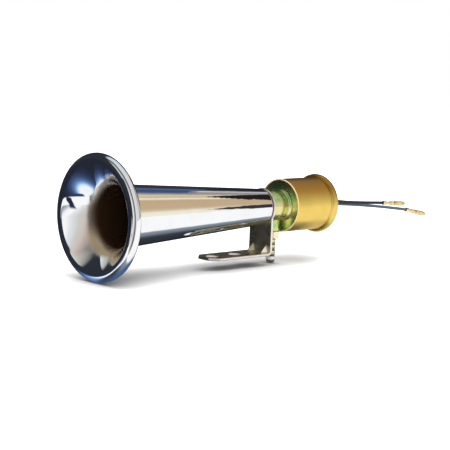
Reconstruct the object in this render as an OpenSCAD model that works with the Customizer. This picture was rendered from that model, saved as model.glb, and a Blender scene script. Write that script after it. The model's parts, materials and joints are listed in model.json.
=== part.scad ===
// Air horn: a conical trumpet on an L-bracket, blown by a reed behind a solenoid valve.
// Lengths in millimetres. The trumpet's axis runs along X, and its bell points to +X.
// The origin is on the underside of the bracket's foot, midway between its two holes.
// Places along the axis are counted from the front face of the bracket's leg, positive to the bell.

/* [Trumpet] */
// Leg's front face to the front of the bell
trumpet_l = 164; // [146:2:200]
// Overall diameter of the bell
bell_d = 90; // [80:1:100]
// Diameter of the rolled lip's section
lip_d = 11.8; // [9:0.2:13]
// Radius of the flare, on the side that shows
flare_r = 34; // [28:1:38]
// Outer diameter at the small end
throat_d = 28; // [27:0.5:32]
// Slope of the cone against the axis, in degrees
cone_angle = 3.6; // [2.8:0.1:4.2]
// Wall of the trumpet
trumpet_wall = 1.2; // [0.8:0.1:1.5]
// Radius of the rounded edge at the small end
heel_r = 2; // [1.5:0.1:2.6]

/* [Bracket] */
// Thickness of the sheet
sheet_t = 2; // [1.6:0.1:2.4]
// Width of leg and foot
bracket_w = 24; // [20:1:26]
// Diameter of the eye that the horn is clamped in
eye_d = 29; // [28:0.5:32]
// Height of the trumpet's axis over the foot's underside
axis_h = 37.2; // [34:0.2:44]
// Leg's front face to the first hole
first_hole = 27.2; // [22:0.2:28]
// Distance between the two holes
hole_pitch = 23; // [20:0.5:24]
// Diameter of the two holes
hole_d = 9; // [6.5:0.5:10]
// Centre of the second hole to the tip of the foot
tip_margin = 8.8; // [7.5:0.1:12]
// Cut at each corner of the foot
corner_cut = 6.5; // [3:0.5:8]
// Inner radius of the bend
bend_r = 2; // [1.5:0.1:3]
// Length of each leg of a pressed dart in the bend
dart_l = 6; // [5:0.5:8]
// Width of a dart
dart_w = 5; // [3:0.5:6]
// Distance between the two darts
dart_pitch = 14.5; // [12:0.5:15]

/* [Hollow bolt] */
// Outer diameter of the bolt's shank
bolt_d = 17; // [16:0.2:18]
// Bore of the bolt
bolt_bore = 12; // [11.6:0.1:12.6]
// Clearance round the bolt's head, inside the trumpet
head_gap = 0.8; // [0.5:0.1:1.5]
// Thickness of the bolt's head
bolt_head_t = 3; // [2:0.2:4]
// Length of the shank inside the valve body
bolt_grip = 5.8; // [5:0.1:6]
// Width of the two spanner slots in the head
spanner_slot = 3; // [2:0.2:4]
// Thickness of the ring under the head
throat_gasket_t = 0.8; // [0.5:0.1:1.2]

/* [Valve body] */
// Diameter of the neck
neck_d = 23.4; // [22.6:0.2:25]
// Leg's front face to the front of the flange
flange_x = 20.6; // [20.2:0.2:23]
// Thickness of the flange
flange_t = 2; // [1.6:0.1:3]
// Radius between neck and flange
neck_fillet = 3; // [2:0.2:4]
// Bore of the chamber that the inlet feeds
chamber_d = 18; // [17:0.2:18.6]
// Depth of that chamber
chamber_l = 6; // [5.6:0.1:6.4]
// Thickness of the ring that seals the chamber
body_gasket_t = 0.8; // [0.5:0.1:1.2]
// Outer diameter of the brass valve seat
seat_d = 6.4; // [6:0.1:7]
// Bore of the valve seat
orifice_d = 3.8; // [3:0.1:4]
// How far the seat stands out into the chamber
seat_lip = 1.5; // [1:0.1:1.8]

/* [Air inlet] */
// Leg's front face to the axis of the barb
barb_x = 12.5; // [12:0.1:13]
// Diameter of the boss under the neck
bung_d = 12; // [11:0.5:13]
// Horn's axis to the underside of the boss
bung_drop = 19.3; // [17:0.1:19.4]
// Thickness of the ring between boss and collar
barb_gasket_t = 0.6; // [0.4:0.1:1]
// Width across the flats of the barb's collar
collar_af = 11; // [10:0.5:12]
// Height of the collar
collar_h = 5.3; // [4:0.1:6]
// Bare length between collar and barbs
barb_neck = 1; // [0.5:0.1:3]
// Diameter of the barbs' crests
barb_d = 7.6; // [7:0.1:9]
// Diameter at the foot of each barb
barb_root = 6.1; // [5.6:0.1:6.4]
// Length of one barb
barb_pitch = 4.5; // [3.5:0.1:5]
// Length of the straight land on a barb's crest
barb_land = 1; // [0.6:0.1:1.4]
// Number of barbs
barb_count = 4; // [3:1:5]
// Bore for the air
barb_bore = 3.8; // [3:0.1:4]

/* [Reed] */
// Length of the reed block behind its flange
block_l = 10; // [9:0.2:10.4]
// Diameter of the reed block
block_d = 7.2; // [7:0.1:7.6]
// Thickness of the reed block's flange
block_flange_t = 2.5; // [2:0.1:3]
// Height of the block's flat over the horn's axis
flat_h = 1; // [0.8:0.1:1.2]
// Bore of the block
shallot_bore = 3.2; // [2.8:0.1:3.4]
// Width of the slot that the tongue covers
shallot_slot = 2; // [1.6:0.1:2.4]
// Length of the tongue
tongue_l = 10.2; // [9.6:0.1:10.4]
// Width of the tongue
tongue_w = 4; // [3.6:0.1:4.2]
// Thickness of the tongue
tongue_t = 0.3; // [0.2:0.05:0.4]
// Tilt of the tongue at rest, in degrees
tongue_tilt = 2.5; // [2.4:0.1:2.8]
// Clearance over and under the tongue in its clamp
tongue_gap = 0.1; // [0.09:0.01:0.12]
// Length of the clamp
clamp_l = 2.6; // [2.2:0.1:2.8]

/* [Solenoid] */
// Travel of the plunger
stroke = 1.8; // [1.4:0.1:2]
// Gap that stays between plunger and core when it is drawn in
core_gap = 0.4; // [0.2:0.1:0.6]
// Diameter of the plunger
plunger_d = 10; // [9:0.2:10.4]
// Length of the plunger
plunger_l = 21; // [18:0.5:23]
// Radial clearance of the plunger in its tube
plunger_gap = 0.08; // [0.06:0.01:0.1]
// Diameter of the rubber seat pad
pad_d = 7; // [6.8:0.1:7.4]
// Thickness of the seat pad
pad_t = 2.4; // [2:0.1:3]
// How far the pad stands out of the plunger
pad_proud = 1; // [0.6:0.1:1.2]
// Wall of the guide tube
tube_wall = 0.5; // [0.4:0.05:0.7]
// Diameter of the guide tube's flange
tube_flange_d = 30; // [28:0.5:34]
// Thickness of the guide tube's flange
tube_flange_t = 1; // [0.8:0.1:1.4]
// Thickness of the two pole plates
pole_t = 2; // [1.5:0.1:2.4]
// Depth of the space for the wiring, between the coil's plate and the cover
wiring_l = 10.3; // [9.6:0.1:12]
// Clearance between the bobbin's flanges and the can
coil_gap = 1.5; // [1:0.1:2.5]
// Wall and flange thickness of the bobbin
bobbin_wall = 1; // [0.8:0.1:1.4]
// Depth of the tape below the edge of the bobbin's flanges
tape_sink = 1; // [0.5:0.1:2]
// Thickness of the tape round the winding
tape_t = 0.5; // [0.3:0.05:0.6]
// Diameter of the core's threaded end
stud_d = 6; // [5:0.5:7]
// How far the threaded end stands out of its nut
stud_proud = 1; // [0.5:0.1:1.2]
// Width across the flats of the nut
nut_af = 10; // [9:0.5:13]
// Thickness of the nut
nut_t = 3; // [2.4:0.1:3.4]
// Thickness of the lock washer
lock_washer_t = 0.8; // [0.6:0.1:1]
// Wire of the return spring
spring_wire = 0.7; // [0.5:0.05:0.8]
// Mean diameter of the return spring
spring_d = 4.6; // [4.2:0.1:4.8]
// Depth of the spring's bore in the plunger
spring_bore_l = 8; // [7:0.5:10]
// Turns of the return spring
spring_turns = 6; // [5:1:7]

/* [Can] */
// Outer diameter of the can
can_d = 42; // [41:0.5:46]
// Wall of the can
can_wall = 1; // [0.8:0.1:1.4]
// Leg's front face to the can's front rim
can_x = 20; // [19.6:0.1:20.2]
// Length of the can
can_l = 45.8; // [45.6:0.2:50]
// Overall diameter of the rolled bead at the rear
bead_d = 47.2; // [45.4:0.2:51]
// Radius of the bead's section
bead_r = 4.2; // [3.6:0.1:4.6]
// Thickness of the rear cover
cover_t = 1; // [0.8:0.1:1.2]
// How deep the rear cover lies in the bead
cover_inset = 2.1; // [1.8:0.1:2.4]
// Width of the lip that is rolled over the cover
cover_lip = 2.2; // [1.6:0.1:3]

/* [Leads] */
// Outer diameter of a lead
lead_d = 2.5; // [2:0.1:2.8]
// Distance between the two leads in the grommet
lead_pitch = 3.2; // [3:0.1:3.6]
// Diameter of the grommet's neck in the cover
grommet_neck = 8.4; // [8:0.2:9]
// Length of the grommet's nose behind the cover
grommet_nose = 8.4; // [6:0.2:12]
// Diameter of a bullet terminal
bullet_d = 4; // [3.8:0.1:4.4]
// Length of the bullet's straight part
bullet_l = 7; // [5:0.5:8]
// Length of the bullet's rounded nose
nose_l = 3.5; // [2.5:0.5:4]
// Length of the crimped sleeve
sleeve_l = 9.5; // [8:0.5:12]

/* [Hidden] */
$fn = 48;

// Clearances: turning faces at the leg, pieces that are pressed or slid together
turn_gap = 0.05;
slip = 0.05;
// How far a cut runs past the face that it opens, and how far two lumps of one solid overlap
past = 1;
join = 0.5;

// Bracket
hole_mid = first_hole + hole_pitch / 2;
foot_l = first_hole + hole_pitch + tip_margin;
foot_top = sheet_t - axis_h;

// Trumpet: the flare's arc touches the inside of the cone and the front of the lip
lip_r = lip_d / 2;
lip_x = trumpet_l - lip_r;
lip_h = bell_d / 2 - lip_r;
cone_k = tan(cone_angle);
wall_r = trumpet_wall / cos(cone_angle);
flare_off = throat_d / 2 - wall_r + flare_r / cos(cone_angle) - lip_h;
flare_span = flare_r - lip_r;
flare_b = lip_x - cone_k * flare_off;
flare_root = flare_b ^ 2 - (1 + cone_k ^ 2) * (lip_x ^ 2 + flare_off ^ 2 - flare_span ^ 2);
flare_x = (flare_b - sqrt(flare_root)) / (1 + cone_k ^ 2);
flare_h = lip_h + flare_off + cone_k * flare_x;
lip_start = atan2(lip_h - flare_h, lip_x - flare_x);
curl_end = 215;

// Hollow bolt
bolt_head_d = throat_d - 2 * (trumpet_wall + head_gap);
head_seat = turn_gap + trumpet_wall + throat_gasket_t;

// Valve body, counted towards the rear as positive
body_front = sheet_t + turn_gap;
plenum_x = sheet_t + bolt_grip;
plenum_l = 2;
plenum_d = bolt_bore + 0.4;
body_rear = flange_x + flange_t;
chamber_x = body_rear - chamber_l;
seat_l = 5;
seat_rim = 0.5;
seat_face = chamber_x + seat_lip;
flange_d = can_d - 2 * can_wall - 2 * slip;
inlet_top = 4.6;
link_h = 6.3;
link_d = 3;

// Solenoid stack, counted towards the rear as positive
tube_x = body_rear + body_gasket_t;
tube_bore = plunger_d + 2 * plunger_gap;
tube_d = tube_bore + 2 * tube_wall;
front_plate_x = tube_x + tube_flange_t;
bobbin_x = front_plate_x + pole_t;
stack_end = can_x + can_l - cover_inset - cover_t - wiring_l;
rear_plate_x = stack_end - pole_t;
stud_end = stack_end + lock_washer_t + nut_t + stud_proud;
bobbin_bore = tube_d + 2 * slip;
bobbin_d = can_d - 2 * (can_wall + coil_gap);
winding_d = bobbin_d - 2 * (tape_sink + tape_t);
winding_bore = bobbin_bore + 2 * (bobbin_wall + slip);
winding_x = bobbin_x + bobbin_wall + slip;
winding_end = rear_plate_x - bobbin_wall - slip;
plate_d = can_d - 2 * can_wall - 4 * slip;
pad_face = seat_face + turn_gap;
plunger_x = pad_face + pad_proud;
core_x = plunger_x + plunger_l + stroke + core_gap;
spring_gap = 0.2;
spring_bore = spring_d + spring_wire + 2 * spring_gap;
groove_w = 1.4;
groove_start = 2;
tag_h = 15.4;
tag_w = 3;
tag_t = 0.8;
tag_gap = 0.5;
tag_proud = 5;

// Can and cover
can_r = can_d / 2;
can_bore = can_r - can_wall;
can_end = can_x + can_l;
bead_x = can_end - bead_r;
bead_h = bead_d / 2 - bead_r;
cover_rear = can_end - cover_inset;
cover_front = cover_rear - cover_t;
cover_catch = 0.6;
cover_d = 2 * (can_bore + cover_catch);
grommet_end = cover_rear + grommet_nose;
grommet_r = grommet_neck / 2;
inner_rim = [1.2, 2];
outer_rim = [1.4, 2.4];
nose_taper = 0.6;

// Inlet
bung_end = bung_drop + barb_gasket_t;
collar_end = bung_end + collar_h;
barb_start = collar_end + barb_neck;
spigot_d = 7;
spigot_l = 3.8;
spigot_room = 2;

// Reed: front of the block's round part, its blind bore, the tongue's pivot and the clamp's screws
block_x = 2;
shallot_drop = 0.9;
shallot_end = 1.5;
slot_end = 2;
pivot_x = 0.5;
pivot_h = flat_h + tongue_gap + tongue_t / 2;
tongue_root = 1.1;
clamp_t = 0.8;
clamp_w = 6.8;
screw_y = 2.75;
screw_d = 1;
screw_depth = 1.5;
screw_head_d = 1.7;
screw_head_h = 0.6;

// Crimped sleeve of a terminal, its pinched middle and its waist
sleeve_r = lead_d / 2 + 0.55;
crimp_r = sleeve_r - 0.3;
waist_r = lead_d / 2 + 0.05;
waist_l = 1;

// Routes of the two leads behind the grommet: rearward, to the right side, upward
black_route = [[0, 0, 0], [5, 0.3, -0.2], [10, 1, -0.7], [16, 2.2, -1.3], [22, 3.6, -1.9],
    [28, 5, -2.3], [34, 6.5, -2.6], [40, 8.2, -2.8], [46, 9.9, -3], [52, 12, -3.1], [58, 14.3, -3.2]];
blue_route = [[0, 0, 0], [6, 0.1, -0.1], [12, 0.5, -0.3], [18, 1.2, -0.6], [25, 2.2, -1],
    [32, 3.3, -1.5], [39, 4.5, -2], [46, 5.8, -2.6], [53, 7.1, -3.2], [60, 8.5, -3.9],
    [67, 10, -4.6], [74, 11.6, -5.4], [81, 13.3, -6.2], [88, 15.2, -7.1]];
black_aim = [0, -2, -23];
blue_aim = [0, -12, -17];

// Puts the origin under the foot, between its holes
module place() {
    translate([-hole_mid, 0, axis_h]) children();
}

// Arc in the plane of axis and radius, angles from the bell's direction
function arc(cx, ch, r, a0, a1, n) =
    [for (i = [0:n]) let (a = a0 + (a1 - a0) * i / n) [cx + r * cos(a), ch + r * sin(a)]];

// Solid turned about the trumpet's axis from [along, radius] points
module turned(profile) {
    rotate([0, 90, 0]) rotate_extrude() polygon([for (p = profile) [p[1], p[0]]]);
}

// Ring or disc about the axis, from x1 to x2 behind the leg's front face
module ring(x1, x2, d, bore = 0) {
    translate([-x2, 0, 0]) rotate([0, 90, 0]) difference() {
        cylinder(h = x2 - x1, d = d);
        if (bore > 0) translate([0, 0, -past]) cylinder(h = x2 - x1 + 2 * past, d = bore);
    }
}

// Bore along the axis, from x1 to x2 behind the leg's front face
module axial_bore(x1, x2, d) {
    translate([-x2, 0, 0]) rotate([0, 90, 0]) cylinder(h = x2 - x1, d = d);
}

// Hexagon along Z, its corners turned off at 30 degrees at both ends
module hexagon(af, h) {
    face_d = 0.98 * af;
    middle_d = face_d + h / tan(30);
    intersection() {
        cylinder(h = h, d = af / cos(30), $fn = 6);
        union() {
            cylinder(h = h / 2, d1 = face_d, d2 = middle_d);
            translate([0, 0, h / 2]) cylinder(h = h / 2, d1 = middle_d, d2 = face_d);
        }
    }
}

function unit(v) = v / norm(v);

// Tangent of a route at point i
function heading(p, i) = unit(p[min(i + 1, len(p) - 1)] - p[max(i - 1, 0)]);

// One ring of a tube, square to its route
function tube_ring(c, t, r, sides) =
    let (n = unit(cross(t, [0, 1, 0])), b = cross(n, t))
    [for (k = [0:sides - 1]) c + r * cos(360 * k / sides) * n + r * sin(360 * k / sides) * b];

// Round tube swept along a route, with flat ends
module tube(p, r, sides = 8) {
    rings = [for (i = [0:len(p) - 1]) each tube_ring(p[i], heading(p, i), r, sides)];
    last = (len(p) - 1) * sides;
    walls = [for (i = [0:len(p) - 2], k = [0:sides - 1])
        let (a = i * sides + k, b = i * sides + (k + 1) % sides)
        each [[a, a + sides, b], [b, a + sides, b + sides]]];
    near_end = [for (k = [1:sides - 2]) [0, k, k + 1]];
    far_end = [for (k = [1:sides - 2]) [last, last + k + 1, last + k]];
    polyhedron(rings, concat(walls, near_end, far_end));
}

module bracket_leg() {
    leg_foot = foot_top + bend_r;
    translate([-sheet_t, 0, 0]) rotate([90, 0, 90]) linear_extrude(sheet_t) difference() {
        union() {
            circle(d = eye_d);
            translate([-bracket_w / 2, leg_foot]) square([bracket_w, -leg_foot]);
        }
        circle(d = bolt_d + 2 * slip);
    }
}

module bracket_bend() {
    translate([bend_r, bracket_w / 2, foot_top + bend_r]) rotate([90, 0, 0])
        rotate([0, 0, 180]) rotate_extrude(angle = 90)
            translate([bend_r, 0]) square([sheet_t, bracket_w]);
}

module bracket_foot() {
    half = bracket_w / 2;
    translate([0, 0, -axis_h]) linear_extrude(sheet_t) difference() {
        polygon([[bend_r, -half], [foot_l - corner_cut, -half], [foot_l, corner_cut - half],
            [foot_l, half - corner_cut], [foot_l - corner_cut, half], [bend_r, half]]);
        for (i = [0, 1]) translate([first_hole + i * hole_pitch, 0]) circle(d = hole_d);
    }
}

// Dart pressed into the bend to stiffen it
module bracket_dart() {
    ridge = dart_l / sqrt(2);
    sunk = 0.1;
    translate([-sunk, 0, foot_top - sunk]) intersection() {
        rotate([90, 0, 0]) linear_extrude(dart_w, center = true)
            polygon([[0, 0], [dart_l, 0], [0, dart_l]]);
        rotate([0, -45, 0]) linear_extrude(2 * dart_l, center = true)
            polygon([[0, -dart_w / 2], [ridge, 0], [0, dart_w / 2]]);
    }
}

module bracket() color("darkkhaki") place() {
    union() {
        bracket_leg();
        bracket_bend();
        bracket_foot();
        for (side = [-1, 1]) translate([0, side * dart_pitch / 2, 0]) bracket_dart();
    }
}

module trumpet() color("silver") place() {
    rear = turn_gap;
    heel_h = throat_d / 2 + (rear + heel_r) * cone_k - heel_r / cos(cone_angle);
    bore_r = bolt_d / 2 + slip;
    inner_rear = rear + trumpet_wall;
    outside = concat([[rear, bore_r]], arc(rear + heel_r, heel_h, heel_r, 180, 90 + cone_angle, 6),
        arc(flare_x, flare_h, flare_r - trumpet_wall, cone_angle - 90, lip_start, 14));
    curl = arc(lip_x, lip_h, lip_r - trumpet_wall, lip_start, curl_end, 24);
    lip = arc(lip_x, lip_h, lip_r, curl_end, lip_start, 28);
    flare = arc(flare_x, flare_h, flare_r, lip_start, cone_angle - 90, 16);
    inside = [[inner_rear, throat_d / 2 - wall_r + inner_rear * cone_k], [inner_rear, bore_r]];
    turned(concat(outside, [for (i = [1:24]) curl[i]], lip, [for (i = [1:16]) flare[i]], inside));
}

module throat_gasket() color("saddlebrown") place() {
    ring(-head_seat, throat_gasket_t - head_seat, bolt_head_d, bolt_d + 2 * slip);
}

module hollow_bolt() color("goldenrod") place() {
    difference() {
        union() {
            ring(-head_seat - bolt_head_t, -head_seat, bolt_head_d);
            ring(-head_seat - join, plenum_x, bolt_d);
        }
        axial_bore(-head_seat - bolt_head_t - past, plenum_x + past, bolt_bore);
        translate([head_seat + bolt_head_t / 2, -bolt_head_d, -spanner_slot / 2])
            cube([bolt_head_t, 2 * bolt_head_d, spanner_slot]);
    }
}

module reed_block() color("gold") place() {
    front = block_x + block_flange_t;
    rear = block_x - block_l;
    slot_l = pivot_x - clamp_l / 2 - rear - slot_end;
    difference() {
        union() {
            ring(-front, -block_x, bolt_bore - 2 * slip);
            ring(-block_x - join, -rear, block_d);
        }
        translate([rear - past, -block_d, flat_h]) cube([block_l + past, 2 * block_d, block_d]);
        translate([0, 0, -shallot_drop])
            axial_bore(-front - past, -rear - shallot_end, shallot_bore);
        translate([rear + slot_end, -shallot_slot / 2, -shallot_drop])
            cube([slot_l, shallot_slot, flat_h + shallot_drop + past]);
        for (side = [-1, 1]) translate([pivot_x, side * screw_y, flat_h - screw_depth])
            cylinder(h = screw_depth + past, d = screw_d);
    }
}

module reed_tongue() color("peru") place() {
    translate([pivot_x, 0, pivot_h]) rotate([0, tongue_tilt, 0])
        translate([tongue_root - tongue_l, -tongue_w / 2, -tongue_t / 2])
            cube([tongue_l, tongue_w, tongue_t]);
}

module reed_clamp() color("gold") place() {
    channel = tongue_t + 2 * tongue_gap;
    channel_w = tongue_w + 2 * tongue_gap;
    translate([pivot_x - clamp_l / 2, 0, flat_h]) difference() {
        translate([0, -clamp_w / 2, 0]) cube([clamp_l, clamp_w, channel + clamp_t]);
        translate([-past, -channel_w / 2, -past])
            cube([clamp_l + 2 * past, channel_w, channel + past]);
        for (side = [-1, 1]) translate([clamp_l / 2, side * screw_y, -past])
            cylinder(h = channel + clamp_t + 2 * past, d = screw_d);
    }
}

module reed_screws() color("silver") place() {
    grip = tongue_t + 2 * tongue_gap + clamp_t;
    for (side = [-1, 1]) translate([pivot_x, side * screw_y, flat_h]) union() {
        translate([0, 0, -screw_depth])
            cylinder(h = screw_depth + grip + screw_head_h / 2, d = screw_d);
        translate([0, 0, grip]) cylinder(h = screw_head_h, d = screw_head_d);
    }
}

// Neck with its fillet and the flange, solid
module neck_and_flange() {
    neck_r = neck_d / 2;
    turned(concat([[-body_front, 0], [-body_front, neck_r]],
        arc(neck_fillet - flange_x, neck_r + neck_fillet, neck_fillet, -90, -180, 8),
        [[-flange_x, flange_d / 2], [-body_rear, flange_d / 2], [-body_rear, 0]]));
}

module valve_body() color("yellowgreen") place() {
    difference() {
        neck_and_flange();
        axial_bore(body_front - past, plenum_x, bolt_d + 2 * slip);
        axial_bore(plenum_x - past, plenum_x + plenum_l, plenum_d);
        axial_bore(plenum_x + plenum_l - past, chamber_x + past, orifice_d);
        axial_bore(chamber_x - seat_l, chamber_x + past, seat_d);
        axial_bore(chamber_x, body_rear + past, chamber_d);
        translate([0, 0, -link_h]) axial_bore(barb_x, chamber_x + past, link_d);
        translate([-barb_x, 0, -bung_drop]) cylinder(h = bung_drop - inlet_top, d = barb_bore);
    }
}

// Boss welded under the neck, hollowed to the neck's curve and bored for the barb's shank
module inlet_bung() color("yellowgreen") place() {
    difference() {
        translate([-barb_x, 0, -bung_drop]) cylinder(h = bung_drop - neck_d / 3, d = bung_d);
        neck_and_flange();
        translate([-barb_x, 0, -bung_drop - past])
            cylinder(h = past + spigot_l - barb_gasket_t + spigot_room, d = spigot_d);
        translate([-barb_x, 0, -bung_drop]) cylinder(h = bung_drop, d = barb_bore);
    }
}

module barb_gasket() color("saddlebrown") place() {
    translate([-barb_x, 0, -bung_end]) difference() {
        cylinder(h = barb_gasket_t, d = collar_af);
        translate([0, 0, -past]) cylinder(h = barb_gasket_t + 2 * past, d = spigot_d);
    }
}

module hose_barb() color("khaki") place() {
    spigot_r = spigot_d / 2 - slip;
    root_r = barb_root / 2;
    crest_r = barb_d / 2;
    tip = barb_start + barb_count * barb_pitch;
    spigot = [[0, bung_end - spigot_l], [spigot_r, bung_end - spigot_l], [spigot_r, bung_end + join],
        [0, bung_end + join]];
    teeth = [for (i = [0:barb_count - 1]) let (z = barb_start + i * barb_pitch)
        each [[root_r, z], [crest_r, z], [crest_r, z + barb_land]]];
    translate([-barb_x, 0, 0]) difference() {
        union() {
            rotate([180, 0, 0]) rotate_extrude() polygon(spigot);
            translate([0, 0, -collar_end]) hexagon(collar_af, collar_h);
            rotate([180, 0, 0]) rotate_extrude() polygon(concat([[0, collar_end - join],
                [root_r, collar_end - join]], teeth, [[root_r, tip], [0, tip]]));
        }
        translate([0, 0, -tip - past]) cylinder(h = tip, d = barb_bore);
    }
}

module valve_seat() color("gold") place() {
    difference() {
        union() {
            ring(chamber_x - seat_l, chamber_x + seat_lip / 3, seat_d);
            turned([[-chamber_x, 0], [-chamber_x, seat_d / 2],
                [-seat_face, orifice_d / 2 + seat_rim], [-seat_face, 0]]);
        }
        axial_bore(chamber_x - seat_l - past, seat_face + past, orifice_d);
    }
}

module body_gasket() color("dimgray") place() {
    ring(body_rear, tube_x, tube_flange_d - 1, chamber_d + 1);
}

module guide_tube() color("gold") place() {
    difference() {
        union() {
            ring(tube_x, front_plate_x, tube_flange_d);
            ring(tube_x + tube_flange_t / 2, rear_plate_x, tube_d);
        }
        axial_bore(tube_x - past, rear_plate_x + past, tube_bore);
    }
}

module plunger() color("lightgray") place() {
    plunger_end = plunger_x + plunger_l;
    difference() {
        ring(plunger_x, plunger_end, plunger_d);
        axial_bore(plunger_x - past, plunger_x + pad_t - pad_proud, pad_d);
        axial_bore(plunger_end - spring_bore_l, plunger_end + past, spring_bore);
        for (side = [-1, 1]) translate([-plunger_end - past,
            side * plunger_d / 2 - groove_w / 2, -groove_w / 2])
                cube([plunger_l - groove_start, groove_w, groove_w]);
    }
}

module seat_pad() color("dimgray") place() {
    ring(pad_face, pad_face + pad_t, pad_d);
}

// Coil of round wire; a wire of few sides reaches no further than its radius, so its ends touch
module return_spring() color("silver") place() {
    steps = 10;
    sides = 6;
    wire_r = spring_wire / 2;
    from = plunger_x + plunger_l - spring_bore_l + wire_r;
    to = core_x - wire_r;
    path = [for (i = [0:spring_turns * steps]) let (a = 360 * i / steps)
        [-from - (to - from) * i / (spring_turns * steps), spring_d / 2 * cos(a),
        spring_d / 2 * sin(a)]];
    rings = [for (i = [0:len(path) - 1]) let (a = 360 * i / steps) each
        [for (k = [0:sides - 1]) path[i] + wire_r * (cos(360 * k / sides) * [1, 0, 0]
            + sin(360 * k / sides) * [0, cos(a), sin(a)])]];
    last = (len(path) - 1) * sides;
    walls = [for (i = [0:len(path) - 2], k = [0:sides - 1])
        let (a = i * sides + k, b = i * sides + (k + 1) % sides)
        each [[a, b, a + sides], [b, b + sides, a + sides]]];
    polyhedron(rings, concat(walls, [for (k = [1:sides - 2]) [0, k + 1, k]],
        [for (k = [1:sides - 2]) [last, last + k, last + k + 1]]));
}

module fixed_core() color("lightgray") place() {
    union() {
        ring(core_x, rear_plate_x, tube_bore);
        ring(rear_plate_x - join, stud_end, stud_d);
    }
}

module front_plate() color("silver") place() {
    ring(front_plate_x, bobbin_x, plate_d, bobbin_bore);
}

module bobbin() color("ivory") place() {
    inner = bobbin_bore / 2;
    drum = inner + bobbin_wall;
    outer = bobbin_d / 2;
    near = -bobbin_x;
    far = -rear_plate_x;
    turned([[near, inner], [near, outer], [near - bobbin_wall, outer], [near - bobbin_wall, drum],
        [far + bobbin_wall, drum], [far + bobbin_wall, outer], [far, outer], [far, inner]]);
}

module coil_winding() color("sienna") place() {
    ring(winding_x, winding_end, winding_d, winding_bore);
}

module coil_tape() color("black") place() {
    ring(winding_x, winding_end, winding_d + 2 * tape_t, winding_d);
}

module rear_plate() color("silver") place() {
    slot = [pole_t + 2 * past, tag_w + 2 * tag_gap, tag_t + 2 * tag_gap];
    difference() {
        ring(rear_plate_x, stack_end, plate_d, stud_d + 4 * slip);
        for (side = [-1, 1])
            translate([-stack_end - past, -slot[1] / 2, side * tag_h - slot[2] / 2]) cube(slot);
    }
}

module lock_washer() color("silver") place() {
    ring(stack_end, stack_end + lock_washer_t, nut_af, stud_d + 4 * slip);
}

module core_nut() color("silver") place() {
    translate([-stack_end - lock_washer_t - nut_t, 0, 0]) rotate([0, 90, 0]) difference() {
        hexagon(nut_af, nut_t);
        translate([0, 0, -past]) cylinder(h = nut_t + 2 * past, d = stud_d + 2 * slip);
    }
}

module solder_tags() color("gold") place() {
    tag_l = pole_t + tag_proud;
    for (side = [-1, 1]) translate([-rear_plate_x - tag_l, -tag_w / 2, side * tag_h - tag_t / 2])
        cube([tag_l, tag_w, tag_t]);
}

// Stretches of the leads between the tags and the grommet's end
module inner_leads() color("black") place() {
    lead_r = lead_d / 2;
    hole_h = lead_pitch / 2;
    turn_x = -stack_end - tag_proud - 1.3 * lead_r;
    for (side = [-1, 1]) tube([[turn_x, 0, side * (tag_h + tag_t)], [turn_x, 0, side * tag_h],
        [turn_x, 0, side * tag_h / 2], [turn_x, 0, side * (hole_h + lead_r)],
        [turn_x - lead_r, 0, side * hole_h], [-cover_front, 0, side * hole_h],
        [-grommet_end, 0, side * hole_h]], lead_r);
}

module cover_can() color("goldenrod") place() {
    bead_start = asin((can_r - bead_h) / bead_r);
    fold_h = cover_d / 2 - cover_lip;
    fold_end = 180 + asin((bead_h - fold_h) / bead_r);
    catch_h = cover_d / 2 + slip;
    turned(concat([[-can_x, can_bore], [-can_x, can_r]],
        arc(-bead_x, bead_h, bead_r, bead_start, fold_end, 16),
        [[-cover_rear, fold_h], [-cover_rear, catch_h], [-cover_front, catch_h],
        [-cover_front, can_bore]]));
}

module rear_cover() color("goldenrod") place() {
    ring(cover_front, cover_rear, cover_d, grommet_neck);
}

module grommet() color("dimgray") place() {
    shoulder = grommet_r + nose_taper;
    difference() {
        turned([[inner_rim[0] - cover_front, 0], [inner_rim[0] - cover_front, shoulder],
            [-cover_front, grommet_r + inner_rim[1]], [-cover_front, grommet_r],
            [-cover_rear, grommet_r], [-cover_rear, grommet_r + outer_rim[1]],
            [-cover_rear - outer_rim[0], grommet_r + outer_rim[1] - slip],
            [-cover_rear - 2 * outer_rim[0], shoulder], [-grommet_end, grommet_r - nose_taper],
            [-grommet_end, 0]]);
        for (side = [-1, 1]) translate([0, 0, side * lead_pitch / 2])
            axial_bore(cover_front - inner_rim[0] - past, grommet_end + past, lead_d);
    }
}

// Route of a lead as points on the horn, from its hole in the grommet
function lead_points(route, side) =
    [for (p = route) [-grommet_end - p[0], p[1], side * lead_pitch / 2 + p[2]]];

module lead_black() color("black") place() {
    tube(lead_points(black_route, 1), lead_d / 2);
}

module lead_blue() color("darkslategray") place() {
    tube(lead_points(blue_route, -1), lead_d / 2);
}

// Bullet terminal along -X: sleeve crimped in the middle, waist, shoulder, straight part and nose
module bullet() {
    pin_r = bullet_d / 2;
    pin_x = sleeve_l + waist_l;
    nose_x = pin_x + bullet_l;
    turned([[0, 0], [0, sleeve_r], [-sleeve_l * 0.3, sleeve_r], [-sleeve_l * 0.36, crimp_r],
        [-sleeve_l * 0.6, crimp_r], [-sleeve_l * 0.66, sleeve_r], [-sleeve_l, sleeve_r],
        [-sleeve_l, waist_r], [-sleeve_l - waist_l / 2, waist_r], [-pin_x, pin_r], [-nose_x, pin_r],
        [-nose_x - nose_l * 0.45, pin_r * 0.86], [-nose_x - nose_l * 0.8, pin_r * 0.58],
        [-nose_x - nose_l, pin_r * 0.3], [-nose_x - nose_l, 0]]);
}

module terminal_black() color("gold") place() {
    route = lead_points(black_route, 1);
    translate(route[len(route) - 1]) rotate(black_aim) bullet();
}

module terminal_blue() color("gold") place() {
    route = lead_points(blue_route, -1);
    translate(route[len(route) - 1]) rotate(blue_aim) bullet();
}

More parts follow.
